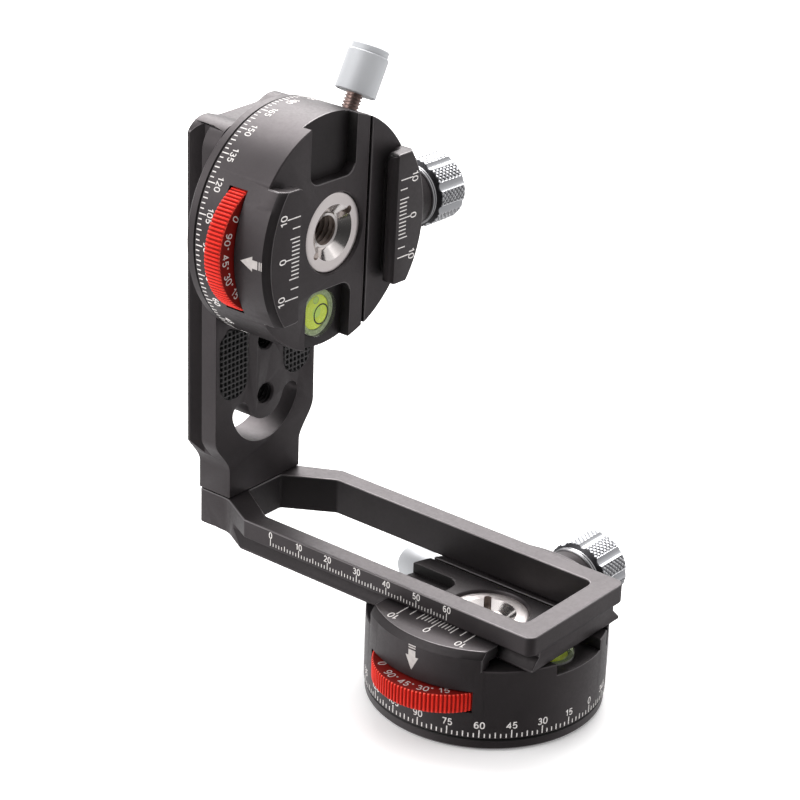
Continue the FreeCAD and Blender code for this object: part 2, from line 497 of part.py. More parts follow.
def pad(s, inset, depth, x1=None):
    """Rubber pad or its recess: round bottom end, top end following the base disc."""
    yc, rr = 12.8, 5.7 - inset
    zb = 69.2
    pts = []
    for k in range(13):
        a = math.radians(180 + 180.0 * k / 12)
        pts.append((yc + rr * math.cos(a), zb + rr * math.sin(a)))
    pts.append((yc + rr, 81.6))
    pts.append((yc + 2.4, 84.6 - inset))
    pts.append((yc - rr, 84.6 - inset))
    x0 = PLATE_X1 - depth
    x1 = PLATE_X1 + 1.0 if x1 is None else x1
    body = prism([(x0, s * y, z) for y, z in pts], (x1 - x0, 0, 0))
    return body.cut(cyl_dir(32.6 + inset, 20, (PLATE_X1 - 10, 0, UP_Z), (1, 0, 0)))


def save(name, shape):
    assert shape.isValid(), name
    shape.exportStep("parts/%s.step" % name)


for name, s in rotator(KNOB_LOW, None, FLUTE_LOW).items():
    save("lower_" + name, s)

up = rotator(KNOB_UP, (7.3, 8.1), FLUTE_UP)
# two dowel holes in the upper base, against turning on the plate
for x in (-20.0, 20.0):
    up["base_disc"] = one(up["base_disc"].cut(cyl(1.5, -1, 2.4, x, 0)))
FIXED = ("base_disc", "spindle", "head_washer", "base_washer")
lying = FreeCAD.Rotation(V(0, 1, 0), 90)
turned = FreeCAD.Rotation(V(1, 0, 0), TURN_UP).multiply(lying)
for name, s in up.items():
    at = FreeCAD.Placement(V(PLATE_X1, 0, UP_Z), lying if name in FIXED else turned)
    s = s.copy()
    s.Placement = at.multiply(s.Placement)
    save("upper_" + name, s)

save("horizontal_arm", arm())
save("vertical_plate", plate())
pads = [pad(s, 0.12, 0.98, PLATE_X1 + 0.25) for s in (-1, 1)]
save("rubber_pads", Part.makeCompound([one(q) for q in pads]))
fs = []
for y in (-9.5, 9.5):
    s = Part.makeCone(4.85, 2.05, 2.8, V(FOOT_X, y, ARM_Z0 + 0.1), V(0, 0, 1)).fuse(cyl(2.05, ARM_Z0 + 2.8, 46.0, FOOT_X, y))
    hexa = [(FOOT_X + 1.75 * math.cos(math.radians(60 * k)), y + 1.75 * math.sin(math.radians(60 * k)), ARM_Z0) for k in range(6)]
    s = s.cut(prism(hexa, (0, 0, 2.0)))
    fs.append(one(s))
save("foot_screws", Part.makeCompound(fs))
save("foot_dowels", Part.makeCompound([cyl(1.48, ARM_Z1 - 4.8, ARM_Z1 + 4.2, FOOT_X, y) for y in (-3.5, 3.5)]))
ms = revolve([(0, 0), (7.3, 0), (7.8, 0.5), (7.8, 4.3), (7.5, 4.6), (3.95, 4.6), (3.95, 17.2), (3.5, 17.7), (0, 17.7)])
hexa = [(3.6 * math.cos(math.radians(60 * k)), 3.6 * math.sin(math.radians(60 * k)), -1) for k in range(6)]
ms = one(ms.cut(prism(hexa, (0, 0, 3.8))))
ms.Placement = FreeCAD.Placement(V(PLATE_X0 + 0.35, 0, UP_Z), FreeCAD.Rotation(V(0, 1, 0), 90))
save("mount_screw", ms)
save("mount_dowels", Part.makeCompound([cyl_dir(1.48, 7.0, (PLATE_X1 - 4.8, 0, z), (1, 0, 0)) for z in (UP_Z - 20, UP_Z + 20)]))
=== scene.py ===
import math
import random
import bpy
import bmesh
from mathutils import Matrix, Vector
from mathutils.geometry import delaunay_2d_cdt

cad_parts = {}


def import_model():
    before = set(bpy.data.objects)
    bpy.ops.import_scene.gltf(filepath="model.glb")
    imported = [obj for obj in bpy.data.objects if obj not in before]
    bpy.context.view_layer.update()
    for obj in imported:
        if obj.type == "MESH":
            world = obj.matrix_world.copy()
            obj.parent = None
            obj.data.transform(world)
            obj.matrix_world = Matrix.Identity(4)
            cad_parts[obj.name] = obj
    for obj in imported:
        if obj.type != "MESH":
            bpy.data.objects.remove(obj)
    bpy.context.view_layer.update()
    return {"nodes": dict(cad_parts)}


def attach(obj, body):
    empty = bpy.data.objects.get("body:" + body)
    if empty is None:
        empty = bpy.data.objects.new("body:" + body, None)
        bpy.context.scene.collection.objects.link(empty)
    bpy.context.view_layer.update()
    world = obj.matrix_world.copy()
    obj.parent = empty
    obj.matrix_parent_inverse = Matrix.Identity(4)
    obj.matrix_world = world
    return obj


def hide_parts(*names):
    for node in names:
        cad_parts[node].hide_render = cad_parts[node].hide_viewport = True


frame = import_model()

MM = 0.001
XP, UZ = -78.5, 114.0            # the upper rotator's own origin, mm
TURN = math.radians(-1.5)        # the upper rotor is turned this much on its base
R = 32.0                         # rotor wall
BOTH = ("lower", "upper")


def place(side):
    """From millimetres in a rotator's own frame (or the row frame) to metres in the row frame."""
    m = Matrix.Identity(4)
    if side in ("upper", "upper_base"):
        m = Matrix(((0, 0, 1, XP), (0, 1, 0, 0), (-1, 0, 0, UZ), (0, 0, 0, 1)))
    if side == "upper":
        about = Matrix.Translation((XP, 0, UZ))
        m = about @ Matrix.Rotation(TURN, 4, "X") @ about.inverted() @ m
    return Matrix.Scale(MM, 4) @ m


# ------------------------------------------------------------------ materials
def new_mat(name):
    m = bpy.data.materials.new(name)
    m.use_nodes = True
    nt = m.node_tree
    nt.nodes.clear()
    out = nt.nodes.new("ShaderNodeOutputMaterial")
    sh = nt.nodes.new("ShaderNodeBsdfPrincipled")
    nt.links.new(sh.outputs[0], out.inputs[0])
    return m, nt, sh


def coords(nt, scale=(1, 1, 1)):
    tc = nt.nodes.new("ShaderNodeTexCoord")
    mp = nt.nodes.new("ShaderNodeMapping")
    mp.inputs["Scale"].default_value = scale
    nt.links.new(tc.outputs["Object"], mp.inputs[0])
    return mp.outputs[0]


def noise_tex(nt, vec, scale, detail=2.0, rough=0.5):
    n = nt.nodes.new("ShaderNodeTexNoise")
    n.inputs["Scale"].default_value = scale
    n.inputs["Detail"].default_value = detail
    n.inputs["Roughness"].default_value = rough
    nt.links.new(vec, n.inputs["Vector"])
    return n.outputs["Fac"]


def ramp(nt, fac, stops):
    r = nt.nodes.new("ShaderNodeValToRGB")
    el = r.color_ramp.elements
    while len(el) < len(stops):
        el.new(0.5)
    for e, (p, c) in zip(el, stops):
        e.position = p
        e.color = (*c, 1.0)
    nt.links.new(fac, r.inputs[0])
    return r.outputs[0]


def span(nt, fac, lo, hi, a=0.3, b=0.7):
    r = nt.nodes.new("ShaderNodeMapRange")
    r.inputs["From Min"].default_value = a
    r.inputs["From Max"].default_value = b
    r.inputs["To Min"].default_value = lo
    r.inputs["To Max"].default_value = hi
    nt.links.new(fac, r.inputs["Value"])
    return r.outputs["Result"]


def bump(nt, height, strength, dist, normal=None):
    b = nt.nodes.new("ShaderNodeBump")
    b.inputs["Strength"].default_value = strength
    b.inputs["Distance"].default_value = dist
    nt.links.new(height, b.inputs["Height"])
    if normal is not None:
        nt.links.new(normal, b.inputs["Normal"])
    return b.outputs["Normal"]


def grainy(name, dark, light, metallic, r0, r1, grain=7000.0, patch=70.0, gs=0.25, gd=0.00001,
           spec=0.5, coat=0.0, coat_rough=0.1, stretch=(1, 1, 1)):
    """Metal or plastic with slow colour changes, uneven gloss and a fine surface grain."""
    m, nt, sh = new_mat(name)
    v = coords(nt)
    vs = coords(nt, stretch)
    slow = noise_tex(nt, v, patch, 3.0, 0.55)
    fine = noise_tex(nt, vs, grain, 2.0, 0.6)
    mid = noise_tex(nt, vs, grain / 6.0, 2.0, 0.6)
    mix = nt.nodes.new("ShaderNodeMix")
    mix.data_type = "FLOAT"
    mix.inputs[0].default_value = 0.35
    nt.links.new(slow, mix.inputs[2])
    nt.links.new(fine, mix.inputs[3])
    nt.links.new(ramp(nt, mix.outputs[0], [(0.3, dark), (0.7, light)]), sh.inputs["Base Color"])
    sh.inputs["Metallic"].default_value = metallic
    nt.links.new(span(nt, mid, r0, r1), sh.inputs["Roughness"])
    sh.inputs["Specular IOR Level"].default_value = spec
    if coat:
        sh.inputs["Coat Weight"].default_value = coat
        sh.inputs["Coat Roughness"].default_value = coat_rough
    nt.links.new(bump(nt, fine, gs, gd), sh.inputs["Normal"])
    return m


BLACK = grainy("black_anodised", (0.052, 0.046, 0.048), (0.068, 0.060, 0.0625), 0.72, 0.38, 0.48)
# painted highlight: a lighter copy of the black anodising for chamfers, standing in for edges that catch the light
EDGE_HIGHLIGHT = grainy("black_anodised_painted_edge_highlight", (0.135, 0.125, 0.128), (0.20, 0.188, 0.192), 0.80, 0.32, 0.44)
# painted shade: a darker copy of the black anodising for faces in partial shade
SHADE_DIM = grainy("black_anodised_painted_shade", (0.030, 0.0265, 0.0275), (0.040, 0.0355, 0.037), 0.68, 0.42, 0.52)
# painted shade: near-black for faces in deep shade, under and between parts
SHADE_BLACK = grainy("black_painted_deep_shade", (0.012, 0.011, 0.011), (0.02, 0.018, 0.018), 0.4, 0.5, 0.65)
BROWN = grainy("thread_shade", (0.21, 0.165, 0.14), (0.31, 0.25, 0.22), 0.45, 0.38, 0.5, gs=0.05)
RED = grainy("red_anodised", (0.78, 0.020, 0.009), (0.88, 0.036, 0.020), 0.42, 0.38, 0.5, gs=0.1, spec=0.3)
# painted shade: darker red for the narrow grooves between the wheel's ribs
RED_GROOVE_SHADE = grainy("red_anodised_painted_groove_shade", (0.38, 0.010, 0.005), (0.48, 0.016, 0.009), 0.4, 0.45, 0.6, gs=0.1, spec=0.3)
# painted shade: dark red for the wheel's flat faces, which lie in the shade of the window
RED_FACE_SHADE = grainy("red_anodised_painted_face_shade", (0.19, 0.006, 0.004), (0.26, 0.010, 0.006), 0.35, 0.5, 0.62, gs=0.1, spec=0.3)
# painted highlight: lighter red for the top rim's chamfer, where it catches the light
RED_EDGE_HIGHLIGHT = grainy("red_anodised_painted_edge_highlight", (0.84, 0.060, 0.036), (0.94, 0.095, 0.062), 0.45, 0.3, 0.42, gs=0.1)
SILVER = grainy("silver_satin", (0.50, 0.515, 0.535), (0.58, 0.595, 0.615), 0.22, 0.45, 0.56, gs=0.05, gd=0.000004)
KNURL = grainy("knurled_aluminium", (0.66, 0.67, 0.69), (0.80, 0.81, 0.83), 1.0, 0.26, 0.38, gs=0.05)
# painted shade: dark aluminium for the low parts of the knurl between the diamonds
KNURL_GROOVE_SHADE = grainy("knurl_painted_groove_shade", (0.22, 0.225, 0.24), (0.30, 0.305, 0.32), 0.95, 0.35, 0.5, gs=0.05)
FLUTE = grainy("knob_flutes", (0.44, 0.45, 0.47), (0.54, 0.55, 0.57), 1.0, 0.28, 0.38, gs=0.05)
# painted shade and reflection: near-black for the knob's inner end, which faces the black rotor
KNURL_END_SHADE = grainy("knob_end_painted_shade", (0.05, 0.05, 0.055), (0.08, 0.08, 0.085), 0.9, 0.35, 0.5, gs=0.1)
STEEL = grainy("steel", (0.42, 0.41, 0.40), (0.55, 0.54, 0.52), 1.0, 0.28, 0.42, gs=0.1)
STUD = grainy("stud_steel", (0.50, 0.40, 0.37), (0.66, 0.55, 0.52), 1.0, 0.28, 0.4, gs=0.08)
STAINLESS = grainy("stainless", (0.86, 0.80, 0.785), (0.92, 0.865, 0.85), 1.0, 0.30, 0.38, gs=0.04, gd=0.000003)
CONE = grainy("stainless_cone", (0.80, 0.76, 0.74), (0.88, 0.84, 0.82), 1.0, 0.12, 0.19, gs=0.03, gd=0.000002)
BRASS = grainy("brass", (0.55, 0.40, 0.16), (0.72, 0.54, 0.24), 1.0, 0.25, 0.4, gs=0.15)
NYLON = grainy("nylon", (0.70, 0.69, 0.64), (0.80, 0.79, 0.74), 0.0, 0.4, 0.55, gs=0.2)
RUBBER = grainy("rubber", (0.030, 0.029, 0.030), (0.044, 0.042, 0.043), 0.0, 0.50, 0.66, gs=0.3, gd=0.00001)
# painted shade: near-black rubber for the tread's square pits
RUBBER_PIT_SHADE = grainy("rubber_painted_pit_shade", (0.004, 0.004, 0.004), (0.007, 0.007, 0.007), 0.0, 0.75, 0.9, gs=0.3, gd=0.00001)
MARK = grainy("white_engraving", (0.66, 0.63, 0.61), (0.84, 0.82, 0.80), 0.0, 0.55, 0.75, grain=12000.0, patch=900.0)
MARK_GREY = grainy("grey_engraving", (0.42, 0.39, 0.38), (0.54, 0.51, 0.49), 0.0, 0.55, 0.75, grain=12000.0, patch=900.0)
MARK_RED = grainy("white_print", (0.56, 0.48, 0.47), (0.68, 0.60, 0.58), 0.0, 0.5, 0.7, grain=12000.0, patch=900.0)
LIME = grainy("level_liquid", (0.84, 0.82, 0.12), (0.92, 0.90, 0.18), 0.0, 0.2, 0.3, patch=260.0, gs=0.02, coat=0.4)
LIME_LIGHT = grainy("level_bubble", (0.66, 0.78, 0.20), (0.76, 0.86, 0.32), 0.0, 0.1, 0.16, patch=260.0, gs=0.02, coat=1.0)
CUP = grainy("level_cup", (0.30, 0.30, 0.29), (0.44, 0.44, 0.42), 0.0, 0.2, 0.35, gs=0.1, coat=0.5)
RING = grainy("level_ring", (0.008, 0.010, 0.004), (0.014, 0.016, 0.008), 0.0, 0.4, 0.5, gs=0.1)


def turned(name, dark, light, r0, r1, axis, period=0.00016, gs=0.35, gd=0.000012):
    """Lathe-turned metal: fine rings spaced along the axis."""
    m, nt, sh = new_mat(name)
    v = coords(nt)
    slow = noise_tex(nt, v, 90.0, 2.0)
    nt.links.new(ramp(nt, slow, [(0.3, dark), (0.7, light)]), sh.inputs["Base Color"])
    sh.inputs["Metallic"].default_value = 1.0
    dot = nt.nodes.new("ShaderNodeVectorMath")
    dot.operation = "DOT_PRODUCT"
    dot.inputs[1].default_value = axis
    nt.links.new(v, dot.inputs[0])
    comb = nt.nodes.new("ShaderNodeCombineXYZ")
    nt.links.new(dot.outputs["Value"], comb.inputs[0])
    lines = noise_tex(nt, comb.outputs[0], 1.0 / period, 2.0, 0.7)
    nt.links.new(span(nt, lines, r0, r1), sh.inputs["Roughness"])
    nt.links.new(bump(nt, lines, gs, gd), sh.inputs["Normal"])
    return m


def clear_mat():
    """Clear acrylic cover: see-through with a glossy skin."""
    m = bpy.data.materials.new("clear_acrylic")
    m.use_nodes = True
    nt = m.node_tree
    nt.nodes.clear()
    out = nt.nodes.new("ShaderNodeOutputMaterial")
    tr = nt.nodes.new("ShaderNodeBsdfTransparent")
    tr.inputs[0].default_value = (0.90, 0.95, 0.82, 1.0)
    gl = nt.nodes.new("ShaderNodeBsdfGlossy")
    gl.inputs["Roughness"].default_value = 0.04
    lw = nt.nodes.new("ShaderNodeLayerWeight")
    lw.inputs["Blend"].default_value = 0.5
    fr = nt.nodes.new("ShaderNodeMapRange")
    fr.inputs["From Min"].default_value = 0.45
    fr.inputs["To Min"].default_value = 0.03
    fr.inputs["To Max"].default_value = 0.45
    nt.links.new(lw.outputs["Facing"], fr.inputs["Value"])
    nz = noise_tex(nt, coords(nt), 500.0, 1.0)
    nt.links.new(bump(nt, nz, 0.05, 0.00002), gl.inputs["Normal"])
    mix = nt.nodes.new("ShaderNodeMixShader")
    nt.links.new(fr.outputs[0], mix.inputs[0])
    nt.links.new(tr.outputs[0], mix.inputs[1])
    nt.links.new(gl.outputs[0], mix.inputs[2])
    nt.links.new(mix.outputs[0], out.inputs[0])
    return m


CLEAR = clear_mat()
LOCK_D = Vector((math.cos(math.radians(152.5)), math.sin(math.radians(152.5)), 0))
TURNED_Y = turned("turned_collar", (0.30, 0.30, 0.31), (0.40, 0.40, 0.41), 0.25, 0.38, (0, 1, 0))


# ------------------------------------------------------------------ mesh helpers
class Build:
    def __init__(self):
        self.v, self.f, self.m = [], [], []

    def quad_grid(self, rows, close_u=False, mi=0):
        """rows: list of equally long lists of points. close_u joins the ends of each row."""
        base = len(self.v)
        n = len(rows[0])
        for r in rows:
            self.v.extend(Vector(p) for p in r)
        for j in range(len(rows) - 1):
            for i in range(n if close_u else n - 1):
                a, b = base + j * n + i, base + j * n + (i + 1) % n
                self.f.append((a, b, b + n, a + n))
                self.m.append(mi)
        return base, n

    def cap(self, ids, mi=0):
        self.f.append(tuple(ids))
        self.m.append(mi)

    def ribbon(self, pts, width, fn, closed=False, h0=-0.05, h1=0.015, step=0.35, mi=0):
        """Thin raised stroke along a 2-D line. fn(u, v, h) gives the point on the surface."""
        q = []
        m = len(pts)
        for i in range(m if closed else m - 1):
            a, b = pts[i], pts[(i + 1) % m]
            k = max(1, int(math.ceil(math.hypot(b[0] - a[0], b[1] - a[1]) / step)))
            q += [(a[0] + (b[0] - a[0]) * t / k, a[1] + (b[1] - a[1]) * t / k) for t in range(k)]
        if not closed:
            q.append(pts[-1])
        n = len(q)
        secs = []
        for i in range(n):
            p = q[i]
            a = q[i - 1] if (closed or i > 0) else None
            b = q[(i + 1) % n] if (closed or i < n - 1) else None
            ns = []
            for s, e in ((a, p), (p, b)):
                if s is None or e is None:
                    continue
                dx, dy = e[0] - s[0], e[1] - s[1]
                dl = math.hypot(dx, dy) or 1.0
                ns.append((-dy / dl, dx / dl))
            mx, my = sum(k[0] for k in ns), sum(k[1] for k in ns)
            ml = math.hypot(mx, my) or 1.0
            mx, my = mx / ml, my / ml
            sc = width / 2 / max(0.5, mx * ns[0][0] + my * ns[0][1])
            left, right = (p[0] + mx * sc, p[1] + my * sc), (p[0] - mx * sc, p[1] - my * sc)
            secs.append([fn(*left, h0), fn(*right, h0), fn(*right, h1), fn(*left, h1)])
        if closed:
            secs.append(secs[0])
        base = len(self.v)
        cnt = n
        for s in secs[:cnt]:
            self.v.extend(Vector(p) for p in s)
        for i in range(n if closed else n - 1):
            a, b = base + 4 * i, base + 4 * ((i + 1) % n)
            for k in range(4):
                self.f.append((a + k, b + k, b + (k + 1) % 4, a + (k + 1) % 4))
                self.m.append(mi)
        if not closed:
            self.cap([base, base + 1, base + 2, base + 3], mi)
            e = base + 4 * (n - 1)
            self.cap([e + 3, e + 2, e + 1, e], mi)

    def patch(self, uv, nu, nv, fn, h0=-0.05, h1=0.015, mi=0):
        """Thin raised patch. uv(s, t) gives its 2-D points for s, t in 0..1."""
        top = [[fn(*uv(i / nu, j / nv), h1) for i in range(nu + 1)] for j in range(nv + 1)]
        bot = [[fn(*uv(i / nu, j / nv), h0) for i in range(nu + 1)] for j in range(nv + 1)]
        b0, n = self.quad_grid(top, mi=mi)
        b1, _ = self.quad_grid(bot, mi=mi)
        ring = [(0, i) for i in range(nu)] + [(j, nu) for j in range(nv)] + \
               [(nv, i) for i in range(nu, 0, -1)] + [(j, 0) for j in range(nv, 0, -1)]
        for k in range(len(ring)):
            (j, i), (jj, ii) = ring[k], ring[(k + 1) % len(ring)]
            self.f.append((b0 + j * n + i, b0 + jj * n + ii, b1 + jj * n + ii, b1 + j * n + i))
            self.m.append(mi)

    def make(self, name, side, mats, body, slot, smooth=math.radians(35), weld=None):
        me = bpy.data.meshes.new(name)
        mw = place(side)
        me.from_pydata([tuple(mw @ p) for p in self.v], [], self.f)
        for m in mats:
            me.materials.append(m)
        for poly, mi in zip(me.polygons, self.m):
            poly.material_index = mi
        bm = bmesh.new()
        bm.from_mesh(me)
        if weld:
            bmesh.ops.remove_doubles(bm, verts=bm.verts, dist=weld * MM)
        bmesh.ops.recalc_face_normals(bm, faces=bm.faces)
        bm.to_mesh(me)
        bm.free()
        me.validate()
        me.shade_smooth()
        me.set_sharp_from_angle(angle=smooth)
        o = bpy.data.objects.new(name, me)
        bpy.context.scene.collection.objects.link(o)
        if body:
            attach(o, body)
        return o


def arc(cx, cy, rx, ry, a0, a1, n=10):
    return [(cx + rx * math.cos(math.radians(a0 + (a1 - a0) * k / n)),
             cy + ry * math.sin(math.radians(a0 + (a1 - a0) * k / n))) for k in range(n + 1)]


def oval(cx, cy, rx, ry, n=18, e=2.3):
    out = []
    for k in range(n):
        a = 2 * math.pi * k / n
        c, s = math.cos(a), math.sin(a)
        out.append((cx + rx * math.copysign(abs(c) ** (2 / e), c), cy + ry * math.copysign(abs(s) ** (2 / e), s)))
    return out


# Plain sans-serif digits as single strokes: (width, [(closed, points), ...]), height 1.
GLYPH = {
    "0": (0.56, [(True, oval(0.28, 0.5, 0.25, 0.47))]),
    "1": (0.40, [(False, [(0.05, 0.76), (0.28, 0.95), (0.28, 0.03)])]),
    "2": (0.54, [(False, arc(0.27, 0.71, 0.22, 0.25, 165, -35, 9) + [(0.04, 0.04), (0.52, 0.04)])]),
    "3": (0.54, [(False, arc(0.26, 0.735, 0.20, 0.225, 160, -80, 9) + arc(0.26, 0.27, 0.24, 0.24, 85, -160, 9))]),
    "4": (0.58, [(False, [(0.42, 0.03), (0.42, 0.93), (0.03, 0.28), (0.57, 0.28)])]),
    "5": (0.55, [(False, [(0.49, 0.96), (0.13, 0.96), (0.08, 0.50)] + arc(0.27, 0.32, 0.24, 0.29, 125, -150, 10))]),
    "6": (0.56, [(True, oval(0.29, 0.31, 0.23, 0.28, 16)), (False, arc(0.33, 0.47, 0.29, 0.50, 62, 188, 8))]),
    "7": (0.53, [(False, [(0.03, 0.95), (0.50, 0.95), (0.20, 0.03)])]),
    "8": (0.56, [(True, oval(0.28, 0.735, 0.19, 0.225, 14)), (True, oval(0.28, 0.27, 0.23, 0.24, 16))]),
    "9": (0.56, [(True, oval(0.27, 0.69, 0.23, 0.28, 16)), (False, arc(0.23, 0.53, 0.29, 0.50, -118, 8, 8))]),
    "*": (0.26, [(True, oval(0.12, 0.90, 0.085, 0.085, 10, 2.0))]),
}


def text_width(s, h, gap=0.15):
    return sum(GLYPH[c][0] for c in s) * h + gap * h * (len(s) - 1)


def text(b, s, h, width, fn, cu, v0, gap=0.15, mi=0, centre=None, h0=-0.05, h1=0.015, wide=1.0):
    """Digits centred on u = cu, standing on v0. A * stands for the degree ring."""
    u = cu - (text_width(centre or s, h, gap) + (wide - 1) * sum(GLYPH[c][0] for c in (centre or s)) * h) / 2
    for c in s:
        w, strokes = GLYPH[c]
        for closed, pts in strokes:
            thin = 0.62 if c == "*" else 1.0
            b.ribbon([(u + x * h * wide, v0 + y * h) for x, y in pts], width * thin, fn, closed, step=0.5, mi=mi, h0=h0, h1=h1)
        u += (w * wide + gap) * h


# ------------------------------------------------------------------ copies of CAD nodes with worked edges
def mesh_copy(node, mi_from=0):
    src = frame["nodes"][node]
    bm = bmesh.new()
    bm.from_mesh(src.data)
    bmesh.ops.remove_doubles(bm, verts=bm.verts, dist=2e-6)
    for f in bm.faces:
        f.material_index = 0
    return bm


def apply_mods(o):
    dg = bpy.context.evaluated_depsgraph_get()
    me = bpy.data.meshes.new_from_object(o.evaluated_get(dg), preserve_all_data_layers=True, depsgraph=dg)
    old = o.data
    o.modifiers.clear()
    o.data = me
    bpy.data.meshes.remove(old)
    return o


def overlapping(bm):
    """Faces whose triangles cover more than the face's own area, as a ring that was merged into one face does."""
    bm.faces.index_update()
    bm.faces.ensure_lookup_table()
    area = {}
    for tri in bm.calc_loop_triangles():
        a, b, c = (l.vert.co for l in tri)
        i = tri[0].face.index
        area[i] = area.get(i, 0.0) + (b - a).cross(c - a).length / 2
    return [bm.faces[i] for i, q in area.items() if q > bm.faces[i].calc_area() * 1.005 + 1e-10]


def merge_flat(bm):
    """Join the triangles of flat faces, except in planes where the joined face would overlap itself."""
    limit = math.radians(0.6)
    planes = []
    for _ in range(4):
        trial = bm.copy()
        trial.normal_update()

        def loose(e):
            return not any(all(abs(f.normal.dot(n)) > 0.999 and abs(n.dot(f.verts[0].co) - d) < 2e-5
                               for f in e.link_faces) for n, d in planes)
        free = {e: loose(e) for e in trial.edges}
        bmesh.ops.dissolve_limit(trial, angle_limit=limit, edges=[e for e in trial.edges if free[e]],
                                 verts=[v for v in trial.verts if all(free[e] for e in v.link_edges)],
                                 delimit={"MATERIAL"})
        trial.normal_update()
        bad = overlapping(trial)
        if not bad:
            break
        planes += [(f.normal.copy(), f.normal.dot(f.verts[0].co)) for f in bad]
        if _ < 3:
            trial.free()
    bm.free()
    return trial


def edged(node, body, width=0.30, angle=50, tools=(), mats=None, segs=2, name=None, tag=True, side=None,
          plain=None, dark=None, keep=None, clamp=False):
    """A copy of a CAD node whose square edges are broken by a small chamfer, as on machined and anodised parts.
    The new chamfers and the narrow chamfers that the node has already get a painted highlight: a lighter material
    standing in for edges that catch the light."""
    bm = mesh_copy(node)
    bm = merge_flat(bm)
    inv = place(side).inverted() if side else Matrix.Scale(1000.0, 4)
    turn = inv.to_3x3().normalized()
    # existing narrow chamfers take the painted highlight (slot 1)
    if tag:
        for f in bm.faces:
            if plain and plain(inv @ f.calc_center_median(), turn @ f.normal):
                continue
            longest = max(e.calc_length() for e in f.edges)
            if longest < 0.3 * MM or f.calc_area() / longest > 0.62 * MM:
                continue
            k = 0
            for e in f.edges:
                if e.calc_length() > 0.5 * longest and len(e.link_faces) == 2:
                    a = math.degrees(e.calc_face_angle(0.0))
                    if 28.0 < a < 66.0:
                        k += 1
            if k >= 2:
                f.material_index = 1
    wl = bm.edges.layers.float.get("bevel_weight_edge") or bm.edges.layers.float.new("bevel_weight_edge")
    for e in bm.edges:
        if len(e.link_faces) != 2 or not e.is_convex:
            continue
        if math.degrees(e.calc_face_angle(0.0)) < angle:
            continue
        c = inv @ ((e.verts[0].co + e.verts[1].co) / 2)
        if keep and keep(c):
            continue
        e[wl] = 1.0
    me = bpy.data.meshes.new(name or node + ".look")
    bm.to_mesh(me)
    bm.free()
    for m in (mats or [BLACK, EDGE_HIGHLIGHT, SHADE_BLACK, SHADE_DIM]):
        me.materials.append(m)
    o = bpy.data.objects.new(name or node + ".look", me)
    bpy.context.scene.collection.objects.link(o)
    me.shade_smooth()
    me.set_sharp_from_angle(angle=math.radians(27))
    bv = o.modifiers.new("bevel", "BEVEL")
    bv.limit_method = "WEIGHT"
    bv.width = width * MM
    bv.segments = segs
    # the new bevel faces take the painted highlight (slot 1)
    bv.material = 1
    bv.harden_normals = False
    bv.use_clamp_overlap = clamp
    bv.miter_outer = "MITER_ARC"
    apply_mods(o)
    o.data.set_sharp_from_angle(angle=math.radians(27))
    # faces picked by dark() get painted shade: 2 near-black, 3 a little darker
    if dark:
        for f in o.data.polygons:
            k = dark(inv @ f.center, turn @ f.normal)
            if k:
                f.material_index = int(k)
    for t in tools:
        before, count = o.data.copy(), len(o.data.polygons)
        bo = o.modifiers.new("cut", "BOOLEAN")
        bo.operation = "DIFFERENCE"
        bo.solver = "EXACT"
        bo.object = t
        apply_mods(o)
        if len(o.data.polygons) < 0.6 * count:
            o.data = before
            print("thread cut left out:", node)
    for t in tools:
        bpy.data.objects.remove(t)
    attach(o, body)
    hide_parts(node)
    return o


def thread_tool(r_minor, r_major, pitch, z0, z1, m, seg=48, per=8, mat=None):
    """Closed plug with the shape of a threaded bore, used to cut that bore."""
    b = Build()
    rows = []
    nz = int(math.ceil((z1 - z0) / pitch * per))
    for j in range(nz + 1):
        z = z0 + (z1 - z0) * j / nz
        row = []
        for i in range(seg):
            a = 2 * math.pi * i / seg
            t = (z / pitch - i / seg) % 1.0
            k = 1 - abs(2 * t - 1)
            k = min(1.0, max(0.0, (k - 0.1) / 0.78))
            r = r_minor + (r_major - r_minor) * k
            row.append((r * math.cos(a), r * math.sin(a), z))
        rows.append(row)
    base, n = b.quad_grid(rows, close_u=True)
    b.cap(list(range(base + n - 1, base - 1, -1)))
    top = base + nz * n
    b.cap(list(range(top, top + n)))
    b.v = [m @ p for p in b.v]
    o = b.make("tool", None, [mat or SHADE_BLACK], None, None)
    return o


def threaded_rod(name, side, body, mat, slot, node, p0, d, r_major, pitch, length, plain=(), seg=32, per=7):
    """Screw with a real helical thread between its plain ends."""
    d = Vector(d).normalized()
    q = Vector((0, 0, 1)).rotation_difference(d)
    b = Build()
    depth = pitch * 0.6
    nz = int(math.ceil(length / pitch * per))
    rows = []
    for j in range(nz + 1):
        z = length * j / nz
        row = []
        lim = min(r_major, r_major - 0.4 + z, r_major - 0.4 + (length - z))
        for i in range(seg):
            a = 2 * math.pi * i / seg
            t = (z / pitch - i / seg) % 1.0
            k = 1 - abs(2 * t - 1)
            r = r_major - depth * (1 - min(1.0, k / 0.85))
            r = min(r, lim)
            row.append(Vector(p0) + q @ Vector((r * math.cos(a), r * math.sin(a), z)))
        rows.append(row)
    base, n = b.quad_grid(rows, close_u=True)
    b.cap(list(range(base + n - 1, base - 1, -1)))
    top = base + nz * n
    b.cap(list(range(top, top + n)))
    o = b.make(name, side, [mat], body, slot, smooth=math.radians(50))
    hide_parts(node)
    return o


